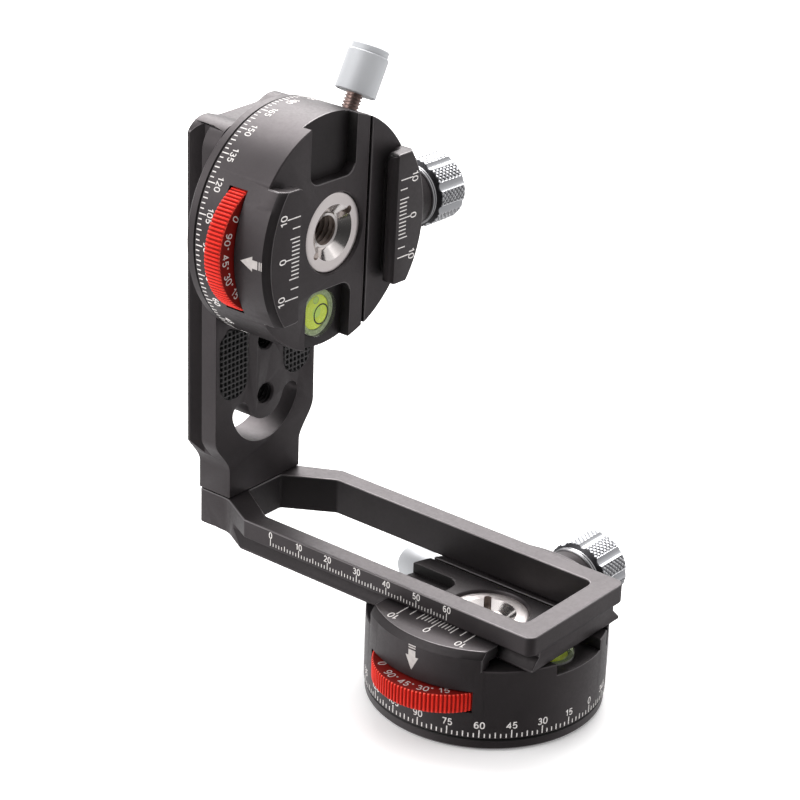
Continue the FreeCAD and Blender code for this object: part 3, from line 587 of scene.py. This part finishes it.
# ------------------------------------------------------------------ camera, light and floor
def camera():
    cd = bpy.data.cameras.new("camera")
    o = bpy.data.objects.new("camera", cd)
    bpy.context.scene.collection.objects.link(o)
    a, e, roll = math.radians(38.27), math.radians(-24.66), math.radians(2.05)
    fwd = Vector((-math.sin(a) * math.cos(e), math.cos(a) * math.cos(e), math.sin(e)))
    right = Vector((math.cos(a), math.sin(a), 0))
    up = right.cross(fwd)
    r2 = right * math.cos(roll) + up * math.sin(roll)
    u2 = -right * math.sin(roll) + up * math.cos(roll)
    m = Matrix((r2, u2, -fwd)).transposed().to_4x4()
    m.translation = Vector((0.35647, -0.4921, 0.36158))
    o.matrix_world = m
    cd.sensor_width = 36.0
    cd.lens = 118.99
    cd.clip_start = 0.01
    cd.clip_end = 50
    bpy.context.scene.camera = o
    return o


def area(name, loc, target, size, power, colour=(1, 1, 1)):
    ld = bpy.data.lights.new(name, "AREA")
    ld.shape = "RECTANGLE"
    ld.size, ld.size_y = size
    ld.energy = power
    ld.color = colour
    o = bpy.data.objects.new(name, ld)
    bpy.context.scene.collection.objects.link(o)
    o.location = loc
    o.rotation_euler = (Vector(target) - Vector(loc)).to_track_quat("-Z", "Y").to_euler()
    return o


def world():
    """Even studio surround: paler to the sides and above, darker behind the camera."""
    w = bpy.data.worlds.new("studio")
    bpy.context.scene.world = w
    w.use_nodes = True
    nt = w.node_tree
    nt.nodes.clear()
    out = nt.nodes.new("ShaderNodeOutputWorld")
    bg = nt.nodes.new("ShaderNodeBackground")
    tc = nt.nodes.new("ShaderNodeTexCoord")
    dot = nt.nodes.new("ShaderNodeVectorMath")
    dot.operation = "DOT_PRODUCT"
    dot.inputs[1].default_value = Vector((0.72, -0.68, 0.02)).normalized()
    nt.links.new(tc.outputs["Generated"], dot.inputs[0])
    col = ramp(nt, span(nt, dot.outputs["Value"], 0.0, 1.0, -1.0, 1.0),
               [(0.0, (1.0, 1.0, 1.0)), (0.58, (1.0, 0.985, 0.99)), (0.70, (0.50, 0.485, 0.49)),
                (0.86, (0.09, 0.09, 0.09)), (1.0, (0.035, 0.035, 0.035))])
    dot2 = nt.nodes.new("ShaderNodeVectorMath")
    dot2.operation = "DOT_PRODUCT"
    dot2.inputs[1].default_value = Vector((0.72, 0.60, -0.36)).normalized()
    nt.links.new(tc.outputs["Generated"], dot2.inputs[0])
    soft = ramp(nt, span(nt, dot2.outputs["Value"], 0.0, 1.0, -1.0, 1.0),
                [(0.0, (1.0, 1.0, 1.0)), (0.66, (1.0, 1.0, 1.0)), (0.86, (0.68, 0.68, 0.68)), (1.0, (0.60, 0.60, 0.60))])
    mul = nt.nodes.new("ShaderNodeMix")
    mul.data_type = "RGBA"
    mul.blend_type = "MULTIPLY"
    mul.inputs["Factor"].default_value = 1.0
    nt.links.new(col, mul.inputs["A"])
    nt.links.new(soft, mul.inputs["B"])
    nt.links.new(mul.outputs["Result"], bg.inputs["Color"])
    bg.inputs["Strength"].default_value = 1.04
    nt.links.new(bg.outputs[0], out.inputs[0])


def floor():
    b = Build()
    n = 12
    rows = [[(-4000 + 8000 * i / n, -4000 + 8000 * j / n, -0.15) for i in range(n + 1)] for j in range(n + 1)]
    b.quad_grid(rows)
    m, nt, sh = new_mat("studio_floor")
    v = coords(nt)
    nz = noise_tex(nt, v, 6.0, 2.0)
    nt.links.new(ramp(nt, nz, [(0.3, (0.93, 0.93, 0.93)), (0.7, (0.96, 0.96, 0.96))]), sh.inputs["Base Color"])
    sh.inputs["Emission Color"].default_value = (1.0, 1.0, 1.0, 1.0)
    sh.inputs["Emission Strength"].default_value = 0.22
    sh.inputs["Roughness"].default_value = 0.8
    sh.inputs["Specular IOR Level"].default_value = 0.1
    o = b.make("floor", None, [m], None, None)
    o.visible_glossy = False
    return o


camera()
world()
floor()
area("key", (-0.75, 0.75, 1.2), (-0.02, 0, 0.05), (1.5, 1.5), 46.0, (1.0, 0.985, 0.98))
area("front", (-0.5, -1.1, 0.9), (-0.02, 0, 0.05), (1.2, 1.2), 9.0, (1.0, 0.99, 0.985))
area("fill", (1.3, 0.5, 1.0), (-0.02, 0, 0.05), (1.2, 1.2), 1.5, (1.0, 0.99, 0.985))
sc = bpy.context.scene
sc.view_settings.view_transform = "Standard"
sc.view_settings.look = "None"
sc.view_settings.exposure = 0.0


# ------------------------------------------------------------------ carried-over CAD nodes
CARRY = {
    "base_disc": BLACK, "detent_plate": STEEL, "head_washer": NYLON, "base_washer": NYLON, "bearing_bush": BRASS,
    "cover_plate": STEEL, "cover_screws": STEEL, "wheel_pivot": STEEL, "detent_plunger": STEEL,
    "detent_ball": STEEL, "detent_spring": STEEL, "brake_pin": NYLON, "level_cup": CUP, "guide_pins": STEEL,
    "jaw_springs": STEEL, "clamp_nut": STEEL, "clamp_collar": TURNED_Y,
}


def set_mat(node, m):
    o = frame["nodes"][node]
    if not o.data.materials:
        o.data.materials.append(m)
    for i in range(len(o.data.materials)):
        o.data.materials[i] = m


for s in BOTH:
    for k, m in CARRY.items():
        set_mat(s + "_" + k, m)
    for k, m in {"spindle": STAINLESS, "rotor_body": BLACK, "index_wheel": RED, "lock_stud": STAINLESS,
                 "lock_knob": SILVER, "level_vial": LIME, "moving_jaw": BLACK, "clamp_screw": STAINLESS,
                 "clamp_knob": KNURL}.items():
        set_mat(s + "_" + k, m)
for k, m in {"horizontal_arm": BLACK, "vertical_plate": BLACK, "rubber_pads": RUBBER, "foot_screws": STAINLESS,
             "foot_dowels": STEEL, "mount_screw": STAINLESS, "mount_dowels": STEEL}.items():
    set_mat(k, m)

# ------------------------------------------------------------------ machined black parts
QUARTER = (2.62, 3.175, 1.27)
tools = []
for z in (61.1, 77.3):
    m = Matrix.Translation((XP - 10.5, 0, z)) @ Matrix.Rotation(math.radians(90), 4, "Y")
    tools.append(thread_tool(*QUARTER, 0.0, 9.9, m, seg=36))
zb_plate = 34.02
# dark: downward faces at the plate's foot get painted deep shade
edged("vertical_plate", "frame", 0.30, tools=tools, clamp=True,
      dark=lambda p, n: 2 * (p.z < zb_plate + 0.32 and n.z < -0.2),
      keep=lambda c: (abs(c.y) < 4.5 and (abs(c.z - 61.1) < 4.5 or abs(c.z - 77.3) < 4.5)))
# dark: the slab's underside bevels, the dovetail slopes under the slab and the slot's inner walls get painted shade
edged("horizontal_arm", "frame", 0.34,
      dark=lambda p, n: 3 * (-0.95 < n.z < -0.3 or 0.3 < n.z < 0.95 and p.z < 28.0 or
                             abs(n.z) < 0.2 and n.x * (-25.0 - p.x) - n.y * p.y > 1.0 and abs(p.y) < 17.5))
def rotor_tone(p, n):
    """Which faces of the rotor body lie in shade: 2 is nearly black, 3 a little darker than the rest, 0 unchanged."""
    r = math.hypot(p.x, p.y)
    if (n.z < -0.3 and p.z < 3.75) or (n.y > 0.9 and 12.7 < p.y < 12.9) or (r < 28.3 and p.z < 19):
        return 2
    if n.y < -0.9 and 7.3 < p.y < 7.5 and 20.0 < p.z < 23.3:
        return 2
    if 20.0 < p.z < 23.0 and abs(p.x) > 14.8 and r < 31.9 and abs(n.z) < 0.2:
        return 3
    if n.z > 0.9 and (abs(p.z - 20.1) < 0.05 or abs(p.z - 17.9) < 0.05):
        return 3
    if 30.4 < r < 32.05 and 26.3 < p.z < 28.3 and 0.3 < n.z < 0.9:
        return 3
    return 0


for s in BOTH:
    edged(s + "_rotor_body", s + "_rotor", 0.28, side=s,
          plain=lambda p, n: math.hypot(p.x, p.y) < 13,
          keep=lambda c: (abs(c.x) > 14.0 and abs(c.y + 10.5) < 0.2 or math.hypot(c.x, c.y) < 28.3 and c.z < 19.6 or
                          c.y < 9.0 and 10.8 < c.z < 17.4),
          # the lower rotor's channel floor, under the arm, also gets painted shade
          dark=rotor_tone if s == "upper" else
          (lambda p, n: rotor_tone(p, n) or 3 * (n.z > 0.9 and abs(p.z - 23.2) < 0.05)))
    # dark: the jaw's inner undercut faces get painted deep shade
    edged(s + "_moving_jaw", s + "_jaw", 0.28, side=s,
          dark=lambda p, n: 2 * (n.y < -0.25 and n.z < 0.3))
    # dark: the base disc's upward faces under the rotor get painted deep shade
    edged(s + "_base_disc", "lower_base" if s == "lower" else "frame", 0.2, angle=70,
          side="upper_base" if s == "upper" else s,
          dark=lambda p, n: 2 * (p.z > 2.7 and n.z > 0.3))

# ------------------------------------------------------------------ spindles with their thread
def slot_tool(side, ang):
    """Straight slot with a round end, for the spanner that tightens the spindle."""
    b = Build()
    ring = [(2.0, -1.0), (8.0, -1.0)] + [(8.0 + math.sin(math.radians(t)), -math.cos(math.radians(t)))
                                         for t in range(15, 180, 15)] + [(8.0, 1.0), (2.0, 1.0)]
    c, q = math.cos(math.radians(ang)), math.sin(math.radians(ang))
    rows = [[(x * c - y * q, x * q + y * c, z) for x, y in ring] for z in (20.2, 23.4)]
    base, n = b.quad_grid(rows, close_u=True)
    for i in range(1, n - 2):
        b.m[i] = 1
    b.cap(list(range(base + n - 1, base - 1, -1)))
    b.cap(list(range(base + n, base + 2 * n)))
    return b.make("slot_tool", side, [CONE, BROWN], None, None)


def spindle(side):
    b = Build()
    seg, pitch, r0, r1 = 96, 1.5875, 4.0, 4.7
    relief = (7.3, 8.1) if side == "upper" else None
    rz = [(4.6, 0.0), (6.6, 0.0), (7.0, 0.4), (7.0, 19.9), (10.5, 19.9), (10.85, 20.1), (10.85, 22.1),
          (10.72, 22.36), (10.45, 22.48), (9.4, 22.48), (8.4, 22.48), (7.62, 22.48), (7.5, 22.38), (6.75, 21.8), (6.0, 21.22),
          (5.2, 20.6), (4.85, 20.33), (4.7, 20.13)]
    rows, mats = [], []
    for k, (r, z) in enumerate(rz):
        rows.append([(r * math.cos(2 * math.pi * i / seg), r * math.sin(2 * math.pi * i / seg), z) for i in range(seg)])
        mats.append(1 if k >= 11 else 0)
    nz = int(19.95 / pitch * 10)
    for j in range(nz + 1):
        z = 19.95 * (1 - j / nz)
        fade = min(1.0, (19.95 - z) / 0.5, z / 0.5 + 0.02)
        row = []
        for i in range(seg):
            t = (z / pitch - i / seg) % 1.0
            k = min(1.0, max(0.0, (1 - abs(2 * t - 1) - 0.12) / 0.76))
            r = r0 + 0.05 + (r1 - r0) * k * fade
            if z < 0.5:
                r = max(r, 4.6 - z)
            if relief and relief[0] <= z <= relief[1]:
                r = 4.9
            row.append((r * math.cos(2 * math.pi * i / seg), r * math.sin(2 * math.pi * i / seg), z))
        rows.append(row)
        mats.append(2)
    n0 = len(rows)
    base, n = b.quad_grid(rows, close_u=True)
    for j in range(n0 - 1):
        for i in range(n):
            b.m[j * n + i] = mats[j]
    last = base + (n0 - 1) * n
    for i in range(n):
        q = (i + 1) % n
        b.f.append((last + i, last + q, base + q, base + i))
        b.m.append(0)
    o = b.make(side + "_spindle.look", "upper_base" if side == "upper" else side, [STAINLESS, CONE, BROWN], None, None,
               smooth=math.radians(24), weld=0.0005)
    for ang in (127.0, -53.0):
        t = slot_tool("upper_base" if side == "upper" else side, ang)
        bo = o.modifiers.new("cut", "BOOLEAN")
        bo.operation = "DIFFERENCE"
        bo.solver = "EXACT"
        bo.object = t
        apply_mods(o)
        bpy.data.objects.remove(t)
    o.data.set_sharp_from_angle(angle=math.radians(24))
    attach(o, "lower_base" if side == "lower" else "frame")
    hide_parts(side + "_spindle")


for s in BOTH:
    spindle(s)

# ------------------------------------------------------------------ lock studs and clamp screws
for s in BOTH:
    knob_at = 34.4 if s == "lower" else 36.35
    threaded_rod(s + "_lock_stud.look", s, s + "_lock", STUD, "stainless", s + "_lock_stud",
                 LOCK_D * 19.05 + Vector((0, 0, 14.2)), LOCK_D, 2.4, 0.9, knob_at + 5.1 - 19.05)
    threaded_rod(s + "_clamp_screw.look", s, s + "_clamp", STUD, "stainless", s + "_clamp_screw",
                 (0, 11.2, 17.3), (0, 1, 0), 2.42, 0.8, 33.6)


# ------------------------------------------------------------------ index wheel
WY, WR, WZ0, WZ1 = -18.9, 18.2, 11.2, 16.6


def index_wheel(side):
    b = Build()
    ribs, per = 105, 10
    half = math.radians(66.5)
    a_start, a_end = math.radians(90) + half, math.radians(90) - half + 2 * math.pi
    n = int(round(ribs * (a_end - a_start) / (2 * math.pi))) * per
    rim = [a_start + (a_end - a_start) * i / n for i in range(n + 1)]
    # one rib: flat top, steep flanks, narrow groove
    prof = [0.0, 0.03, 0.16, 0.44, 0.52, 0.52, 0.44, 0.16, 0.03, 0.0]

    def depth(i):
        return prof[i % per]

    levels = [(WZ0, 0.42, 0.2), (WZ0 + 0.22, 0.12, 0.8), (WZ0 + 0.45, 0.0, 1.0), (WZ1 - 0.45, 0.0, 1.0),
              (WZ1 - 0.22, 0.10, 0.85), (WZ1, 0.40, 0.2)]
    k = 20
    rows = []
    for z, inset, rd in levels:
        row = []
        for i, a in enumerate(rim):
            r = WR - inset - depth(i) * rd
            row.append((r * math.cos(a), WY + r * math.sin(a), z))
        for i in range(1, k):
            ang = math.radians(90) - half + 2 * half * i / k
            row.append((9.6 * math.cos(ang), WY + 9.6 * math.sin(ang), z))
        rows.append(row)
    base, m = b.quad_grid(rows, close_u=True, mi=0)
    for j in range(len(levels) - 1):
        for i in range(m):
            mi = 0
            if i < n:
                # faces down in the grooves take the painted groove shade (slot 2)
                mi = 2 if (i % per) in (2, 3, 4, 5, 6) else 0
                # the upper chamfer row takes the painted highlight (slot 3)
                if j == 4 and mi == 0:
                    mi = 3
            b.m[j * m + i] = mi
    # the flat faces and the bore take the painted face shade (slot 1)
    for zi, z in ((0, WZ0), (len(levels) - 1, WZ1)):
        outer = rows[zi]
        inner, bore = [], []
        for p in outer:
            dx, dy = p[0], p[1] - WY
            rr = math.hypot(dx, dy)
            t = (17.35 if rr > 12 else 9.3) / rr
            inner.append((dx * t, WY + dy * t, z))
            bore.append((dx * 2.6 / rr, WY + dy * 2.6 / rr, z))
        ids = [base + zi * m + i for i in range(m)]
        s1 = len(b.v)
        b.v.extend(Vector(p) for p in inner)
        s2 = len(b.v)
        b.v.extend(Vector(p) for p in bore)
        for i in range(m):
            j = (i + 1) % m
            b.f.append((ids[i], ids[j], s1 + j, s1 + i))
            b.m.append(1)
            b.f.append((s1 + i, s1 + j, s2 + j, s2 + i))
            b.m.append(1)
        if zi == 0:
            low_bore = s2
        else:
            up_bore = s2
    for i in range(m):
        j = (i + 1) % m
        b.f.append((low_bore + i, low_bore + j, up_bore + j, up_bore + i))
        b.m.append(1)
    o = b.make(side + "_index_wheel.look", side, [RED, RED_FACE_SHADE, RED_GROOVE_SHADE, RED_EDGE_HIGHLIGHT], side + "_wheel", "red_anodised",
               smooth=math.radians(50), weld=0.0005)
    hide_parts(side + "_index_wheel")
    # settings on the upper face
    t = Build()
    a0 = -89.8 if side == "lower" else -88.4
    for i, label in enumerate(("0", "90*", "45*", "30*", "15")):
        a = math.radians(a0 + 20.0 * (i - 2))
        er, et = (math.cos(a), math.sin(a)), (-math.sin(a), math.cos(a))

        def fn(u, v, h, er=er, et=et):
            rr = 16.85 - v
            return (et[0] * u + er[0] * rr, WY + et[1] * u + er[1] * rr, WZ1 + h)
        text(t, label, 2.15, 0.30, fn, 0.0, 0.1, gap=0.20, centre=label.replace("*", ""), wide=1.12)
    t.make(side + "_wheel_settings", side, [MARK_RED], side + "_wheel", "red_anodised")


for s in BOTH:
    index_wheel(s)


# ------------------------------------------------------------------ knurled clamp knobs
def clamp_knob(side, flute_at):
    """Knob with nine smooth flutes and a raised diamond knurl between them."""
    b = Build()
    y0, ylen, zc, rk = 39.7, 11.5, 17.3, 9.6
    fr, fd = 1.6, 10.5
    half_f = math.degrees(math.acos((rk ** 2 + fd ** 2 - fr ** 2) / (2 * rk * fd)))
    nf, nl = 10, 46
    angs = []
    for k in range(9):
        c = flute_at + 40 * k
        angs += [(c - half_f + 2 * half_f * i / nf, True) for i in range(nf)]
        angs += [(c + half_f + (40 - 2 * half_f) * i / nl, False) for i in range(nl)]
    ps, py, depth = 2 * math.pi * rk / 37, 1.5, 0.34
    ny = 120

    def radius(a, is_f, y):
        """Radius and knurl height from 0 in a groove to 1 on a diamond's tip."""
        k = round((a - flute_at) / 40.0)
        d = a - (flute_at + 40 * k)
        phi = math.radians(d)
        lim = min(rk, 8.2 + y * 1.273, 9.0 + (ylen - y) * 1.0)
        if is_f or abs(d) <= half_f + 0.01:
            r = fd * math.cos(phi) - math.sqrt(max(0.0, fr ** 2 - (fd * math.sin(phi)) ** 2))
            return min(r, lim), 2.0
        u, v = math.radians(a) * rk / ps, y / py
        g1 = abs((u + v) % 1.0 - 0.5) * 2
        g2 = abs((u - v) % 1.0 - 0.5) * 2
        hgt = min(1.0, min(1 - g1, 1 - g2) * 1.45)
        edge = min(1.0, (abs(d) - half_f) / 1.2)
        return min(rk - depth * (1 - hgt) * edge, lim), 1 - (1 - hgt) * edge

    def pt(r, a, y):
        q = math.radians(a)
        return (r * math.cos(q), y0 + y, zc + r * math.sin(q))

    rows, hs = [], []
    for j in range(ny + 1):
        y = ylen * j / ny
        rr = [radius(a, f, y) for a, f in angs]
        rows.append([pt(q[0], a, y) for q, (a, f) in zip(rr, angs)])
        hs.append([q[1] for q in rr])
    base, n = b.quad_grid(rows, close_u=True)
    for j in range(ny):
        y = ylen * (j + 0.5) / ny
        for i in range(n):
            h = (hs[j][i] + hs[j][(i + 1) % n] + hs[j + 1][i] + hs[j + 1][(i + 1) % n]) / 4
            flute = angs[i][1]
            # low parts of the knurl take the painted groove shade (slot 3)
            mi = 2 if flute else (0 if h > 0.42 else 3)
            # the first millimetre at the inner end takes the painted end shade (slot 1)
            if y < 1.05:
                mi = 1
            b.m[j * n + i] = mi
    prev = [base + i for i in range(n)]
    # the inner end face takes the painted end shade (slot 1)
    for r, y, mi in ((8.0, 0.0, 1), (7.7, 0.3, 1), (3.0, 0.3, 1), (2.7, 0.0, 1), (2.45, 0.0, 1), (2.45, 5.2, 1)):
        cur = len(b.v)
        b.v.extend(Vector(pt(r, a, y)) for a, f in angs)
        for i in range(n):
            j = (i + 1) % n
            b.f.append((prev[i], prev[j], cur + j, cur + i))
            b.m.append(mi)
        prev = [cur + i for i in range(n)]
    b.cap(prev, 1)
    prev = [base + ny * n + i for i in range(n)]
    for r, y in ((8.2, ylen), (6.3, ylen), (6.1, ylen - 0.2), (6.1, ylen - 0.5), (1.0, ylen - 0.5)):
        cur = len(b.v)
        b.v.extend(Vector(pt(r, a, y)) for a, f in angs)
        for i in range(n):
            j = (i + 1) % n
            b.f.append((prev[i], prev[j], cur + j, cur + i))
            b.m.append(2)
        prev = [cur + i for i in range(n)]
    b.cap(prev, 2)
    o = b.make(side + "_clamp_knob.look", side, [KNURL, KNURL_END_SHADE, FLUTE, KNURL_GROOVE_SHADE], side + "_clamp", "knob_aluminium",
               smooth=math.radians(40))
    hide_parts(side + "_clamp_knob")
    return o


clamp_knob("lower", 2.5)
clamp_knob("upper", 32.7)


# ------------------------------------------------------------------ bubble levels
def level(side):
    body = side + "_rotor"
    lx, ly = 22.1, -2.7

    def ringed(b, prof, n=48, mi=0, cap_end=True):
        rows = []
        for r, z in prof:
            rows.append([(lx + r * math.cos(2 * math.pi * i / n), ly + r * math.sin(2 * math.pi * i / n), z) for i in range(n)])
        base, m = b.quad_grid(rows, close_u=True, mi=mi)
        b.cap(list(range(base + m - 1, base - 1, -1)), mi)
        e = base + (len(prof) - 1) * m
        b.cap(list(range(e, e + m)), mi)

    liq = Build()
    ringed(liq, [(4.6, 18.25), (4.85, 18.4), (4.85, 20.05), (4.6, 20.25), (3.5, 20.33), (1.5, 20.36), (0.2, 20.36)])
    o = liq.make(side + "_level_liquid", side, [LIME], body, "level_plastic")
    cov = Build()
    ringed(cov, [(6.2, 20.48), (6.36, 20.55), (6.36, 21.6), (6.08, 21.86), (5.0, 21.88), (0.2, 21.9)], mi=0)
    c = cov.make(side + "_level_cover", side, [CLEAR], body, "clear")
    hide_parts(side + "_level_vial")
    rg = Build()

    def fn(u, v, h):
        return (lx + u, ly + v, 21.9 + h)
    rg.ribbon([(2.72 * math.cos(2 * math.pi * i / 40), 2.72 * math.sin(2 * math.pi * i / 40)) for i in range(40)],
              0.42, fn, closed=True, h0=-0.03, h1=0.004)
    rg.make(side + "_level_ring", side, [RING], body, "level_plastic")
    # bubbles, flattened against the cover
    bb = Build()
    for bx, by, br, bz in ((0.0, 0.0, 1.6, 0.05), (-3.5, -0.4, 0.95, 0.07)):
        rows = []
        for j in range(9):
            q = math.pi * j / 8
            rr, zz = max(0.02, br * math.sin(q)), 20.36 - bz * math.cos(q)
            rows.append([(lx + bx + rr * math.cos(2 * math.pi * i / 28), ly + by + rr * math.sin(2 * math.pi * i / 28), zz)
                         for i in range(28)])
        base, m = bb.quad_grid(rows, close_u=True)
        bb.cap(list(range(base + m - 1, base - 1, -1)))
        bb.cap(list(range(base + 8 * m, base + 9 * m)))
    bb.make(side + "_level_bubble", side, [LIME_LIGHT], body, "level_plastic", smooth=math.radians(80))
    # outline of the small bubble and the translucent wall round the liquid
    ol = Build()

    def fb(u, v, h):
        return (lx - 3.5 + u, ly - 0.4 + v, 20.40 + h)
    ol.ribbon([(0.98 * math.cos(2 * math.pi * i / 28), 0.98 * math.sin(2 * math.pi * i / 28)) for i in range(28)],
              0.14, fb, closed=True, h0=-0.03, h1=0.01)
    ol.make(side + "_level_bubble_line", side, [CUP], body, "level_plastic")
    wl = Build()
    rows = [[(lx + r * math.cos(2 * math.pi * i / 60), ly + r * math.sin(2 * math.pi * i / 60), z) for i in range(60)]
            for r, z in ((4.9, 18.3), (4.9, 20.3), (5.05, 20.42), (5.75, 20.44), (5.85, 20.38), (5.85, 18.3), (4.9, 18.3))]
    wl.quad_grid(rows, close_u=True)
    wl.make(side + "_level_wall", side, [CUP], body, "level_plastic", weld=0.001)


for s in BOTH:
    level(s)


# ------------------------------------------------------------------ rubber pads with a diamond tread
def rubber_pads():
    b = Build()
    x_face = XP + 0.24

    def outline(s):
        yc, rr, zb = 12.8, 5.58, 69.2
        pts = [(yc + rr * math.cos(math.radians(180 + 180.0 * k / 12)), zb + rr * math.sin(math.radians(180 + 180.0 * k / 12)))
               for k in range(13)]
        pts += [(yc + rr, 81.6), (yc + 2.4, 84.46)]
        # the upper end follows the rim of the base disc
        rim = 32.74
        y_in = yc - rr
        za = UZ - math.sqrt(rim ** 2 - (yc + 2.4) ** 2)
        zb2 = UZ - math.sqrt(rim ** 2 - y_in ** 2)
        pts = pts[:-1] if za < 84.4 else pts
        ys = [yc + rr - 0.2 - (rr * 2 - 0.2) * k / 10 for k in range(11)]
        top = [(y, min(84.46, UZ - math.sqrt(rim ** 2 - y ** 2))) for y in ys]
        pts = [p for p in pts if p[1] < UZ - math.sqrt(rim ** 2 - min(p[0], 30) ** 2) + 1e-6]
        return [(s * y, z) for y, z in pts + top]

    for s in (-1, 1):
        ol = outline(s)
        if s < 0:
            ol = ol[::-1]
        # dense outline
        den = []
        for i in range(len(ol)):
            a, c = ol[i], ol[(i + 1) % len(ol)]
            k = max(1, int(math.hypot(c[0] - a[0], c[1] - a[1]) / 0.35))
            den += [(a[0] + (c[0] - a[0]) * t / k, a[1] + (c[1] - a[1]) * t / k) for t in range(k)]
        n = len(den)

        def inside(p, margin):
            cnt = False
            dmin = 1e9
            for i in range(n):
                (x1, y1), (x2, y2) = den[i], den[(i + 1) % n]
                if (y1 > p[1]) != (y2 > p[1]) and p[0] < (x2 - x1) * (p[1] - y1) / (y2 - y1) + x1:
                    cnt = not cnt
                dmin = min(dmin, math.hypot(p[0] - x1, p[1] - y1))
            return cnt and dmin > margin
        pitch = 1.557
        pts = list(den)
        ys = [q[0] for q in den]
        zs = [q[1] for q in den]
        step = pitch / 8
        j = 0
        y = min(ys)
        grid = []
        while y < max(ys):
            z = min(zs)
            while z < max(zs):
                if inside((y, z), 0.22):
                    grid.append((y, z))
                z += step
            y += step
        vec = [Vector(p) for p in pts + grid]
        verts, edges, faces, *_ = delaunay_2d_cdt(vec, [(i, (i + 1) % n) for i in range(n)], [], 1, 1e-5)
        base = len(b.v)

        def height(p):
            """1 on the raised grid lines, 0 in the square pits."""
            g1 = abs((p[0] / pitch) % 1.0 - 0.5) * 2
            g2 = abs((p[1] / pitch) % 1.0 - 0.5) * 2
            return min(1.0, max(0.0, (max(g1, g2) - 0.48) * 4.5))
        for i, p in enumerate(verts):
            h = -0.30 if i < n else -0.62 * (1 - height(p))
            b.v.append(Vector((x_face + h, p[0], p[1])))
        for f in faces:
            b.f.append(tuple(base + k for k in f))
            # faces down in the pits take the painted pit shade (slot 1)
            hm = sum(0.6 if k < n else height(verts[k]) for k in f) / len(f)
            b.m.append(0 if hm > 0.5 else 1)
        back = len(b.v)
        b.v.extend(Vector((XP - 0.95, p[0], p[1])) for p in verts[:n])
        for i in range(n):
            k = (i + 1) % n
            b.f.append((base + i, base + k, back + k, back + i))
            b.m.append(0)
        b.cap([back + i for i in range(n)][::-1])
    o = b.make("rubber_pads.look", None, [RUBBER, RUBBER_PIT_SHADE], "frame", "rubber", smooth=math.radians(25))
    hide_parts("rubber_pads")


rubber_pads()


# ------------------------------------------------------------------ engraved scales
def wall(th0, radius=R):
    def fn(u, v, h):
        a = math.radians(th0) + u / radius
        return ((radius + h) * math.cos(a), (radius + h) * math.sin(a), v)
    return fn


def degree_scale(side, th0):
    b = Build()
    for i in range(144):
        deg = i * 2.5
        th = th0 - deg
        k = i % 6
        top = 6.2 if k == 0 else (5.55 if k == 3 else 5.15)
        # no marks where the wheel's window cuts the wall's lower half (there is none this low)
        b.ribbon([(0, 3.95), (0, top)], 0.32, wall(th), step=3.0, h0=-0.06, h1=0.012)
        if k == 0:
            text(b, str(int(deg)), 1.85, 0.29, wall(th), 0.0, 6.6, gap=0.20, h0=-0.06, h1=0.012, wide=1.12)
    b.make(side + "_degree_scale", side, [MARK], side + "_rotor", "black_anodised")


def arrow(side):
    b = Build()
    fn = wall(-89.6)

    def rect(u0, u1, v0, v1):
        return lambda s, t: (u0 + (u1 - u0) * s, v0 + (v1 - v0) * t)
    w = math.radians(2.0) * R
    b.patch(rect(-w, w, 26.08, 26.42), 6, 1, fn)
    b.patch(rect(-w, w, 25.42, 25.78), 6, 1, fn)
    b.patch(rect(-w, w, 23.15, 24.95), 6, 4, fn)
    hw = math.radians(3.6) * R
    b.patch(lambda s, t: ((-hw + 2 * hw * s) * (1 - 0.985 * t), 23.2 - 3.9 * t), 8, 8, fn, h1=0.016)
    b.make(side + "_arrow", side, [MARK_GREY], side + "_rotor", "black_anodised")


def jaw_marks(side):
    for which, body in (("fixed", side + "_rotor"), ("moving", side + "_jaw")):
        b = Build()
        sg = -1 if which == "fixed" else 1
        y_in, gap = (19.7, 0.15) if which == "fixed" else (20.5, -0.25)

        def fn(u, v, h):
            return (sg * u, sg * v, 28.2 + h)
        for k in (-10, -7.5, -5, -4, -3, -2, -1, 0, 1, 2, 3, 4, 5, 7.5, 10):
            ln = 5.0 if k in (-10, 0, 10) else (3.6 if abs(k) == 5 else 2.9)
            b.ribbon([(k * 1.09, y_in), (k * 1.09, y_in + ln)], 0.30, fn, step=6.0)
            if k in (-10, 0, 10):
                text(b, str(abs(k)), 2.3, 0.33, fn, k * 1.09, y_in + ln + gap, gap=0.20, wide=1.05)
        b.make(side + "_jaw_marks_" + which, side, [MARK], body, "black_anodised")


def base_index():
    b = Build()
    for th in (90.0,):
        b.ribbon([(0, 0.9), (0, 2.75)], 0.35, wall(th, 31.7), step=3.0, h0=-0.06, h1=0.012)
    b.make("lower_base_index", "lower", [MARK], "lower_base", "black_anodised")
    c = Build()
    c.ribbon([(0, 0.9), (0, 2.75)], 0.35, wall(90.0, 31.7), step=3.0, h0=-0.06, h1=0.012)
    c.make("upper_base_index", "upper_base", [MARK], "frame", "black_anodised")


def arm_scale():
    """Millimetre rule along the arm's side: plain numbers every centimetre."""
    b = Build()

    def fn(u, v, h):
        return (u, -20.5 - h, v)
    x0 = -58.0
    for i in range(0, 61):
        ln = 2.0 if i % 10 == 0 else (1.5 if i % 5 == 0 else 1.0)
        b.ribbon([(x0 + i, 29.45), (x0 + i, 29.45 + ln)], 0.22, fn, step=6.0)
        if i % 10 == 0:
            text(b, str(i), 1.75, 0.26, fn, x0 + i, 31.65, gap=0.2)
    b.make("arm_scale", None, [MARK], "frame", "black_anodised")


degree_scale("lower", 4.9)
degree_scale("upper", 0.2)
for s in BOTH:
    arrow(s)
    jaw_marks(s)
base_index()
arm_scale()
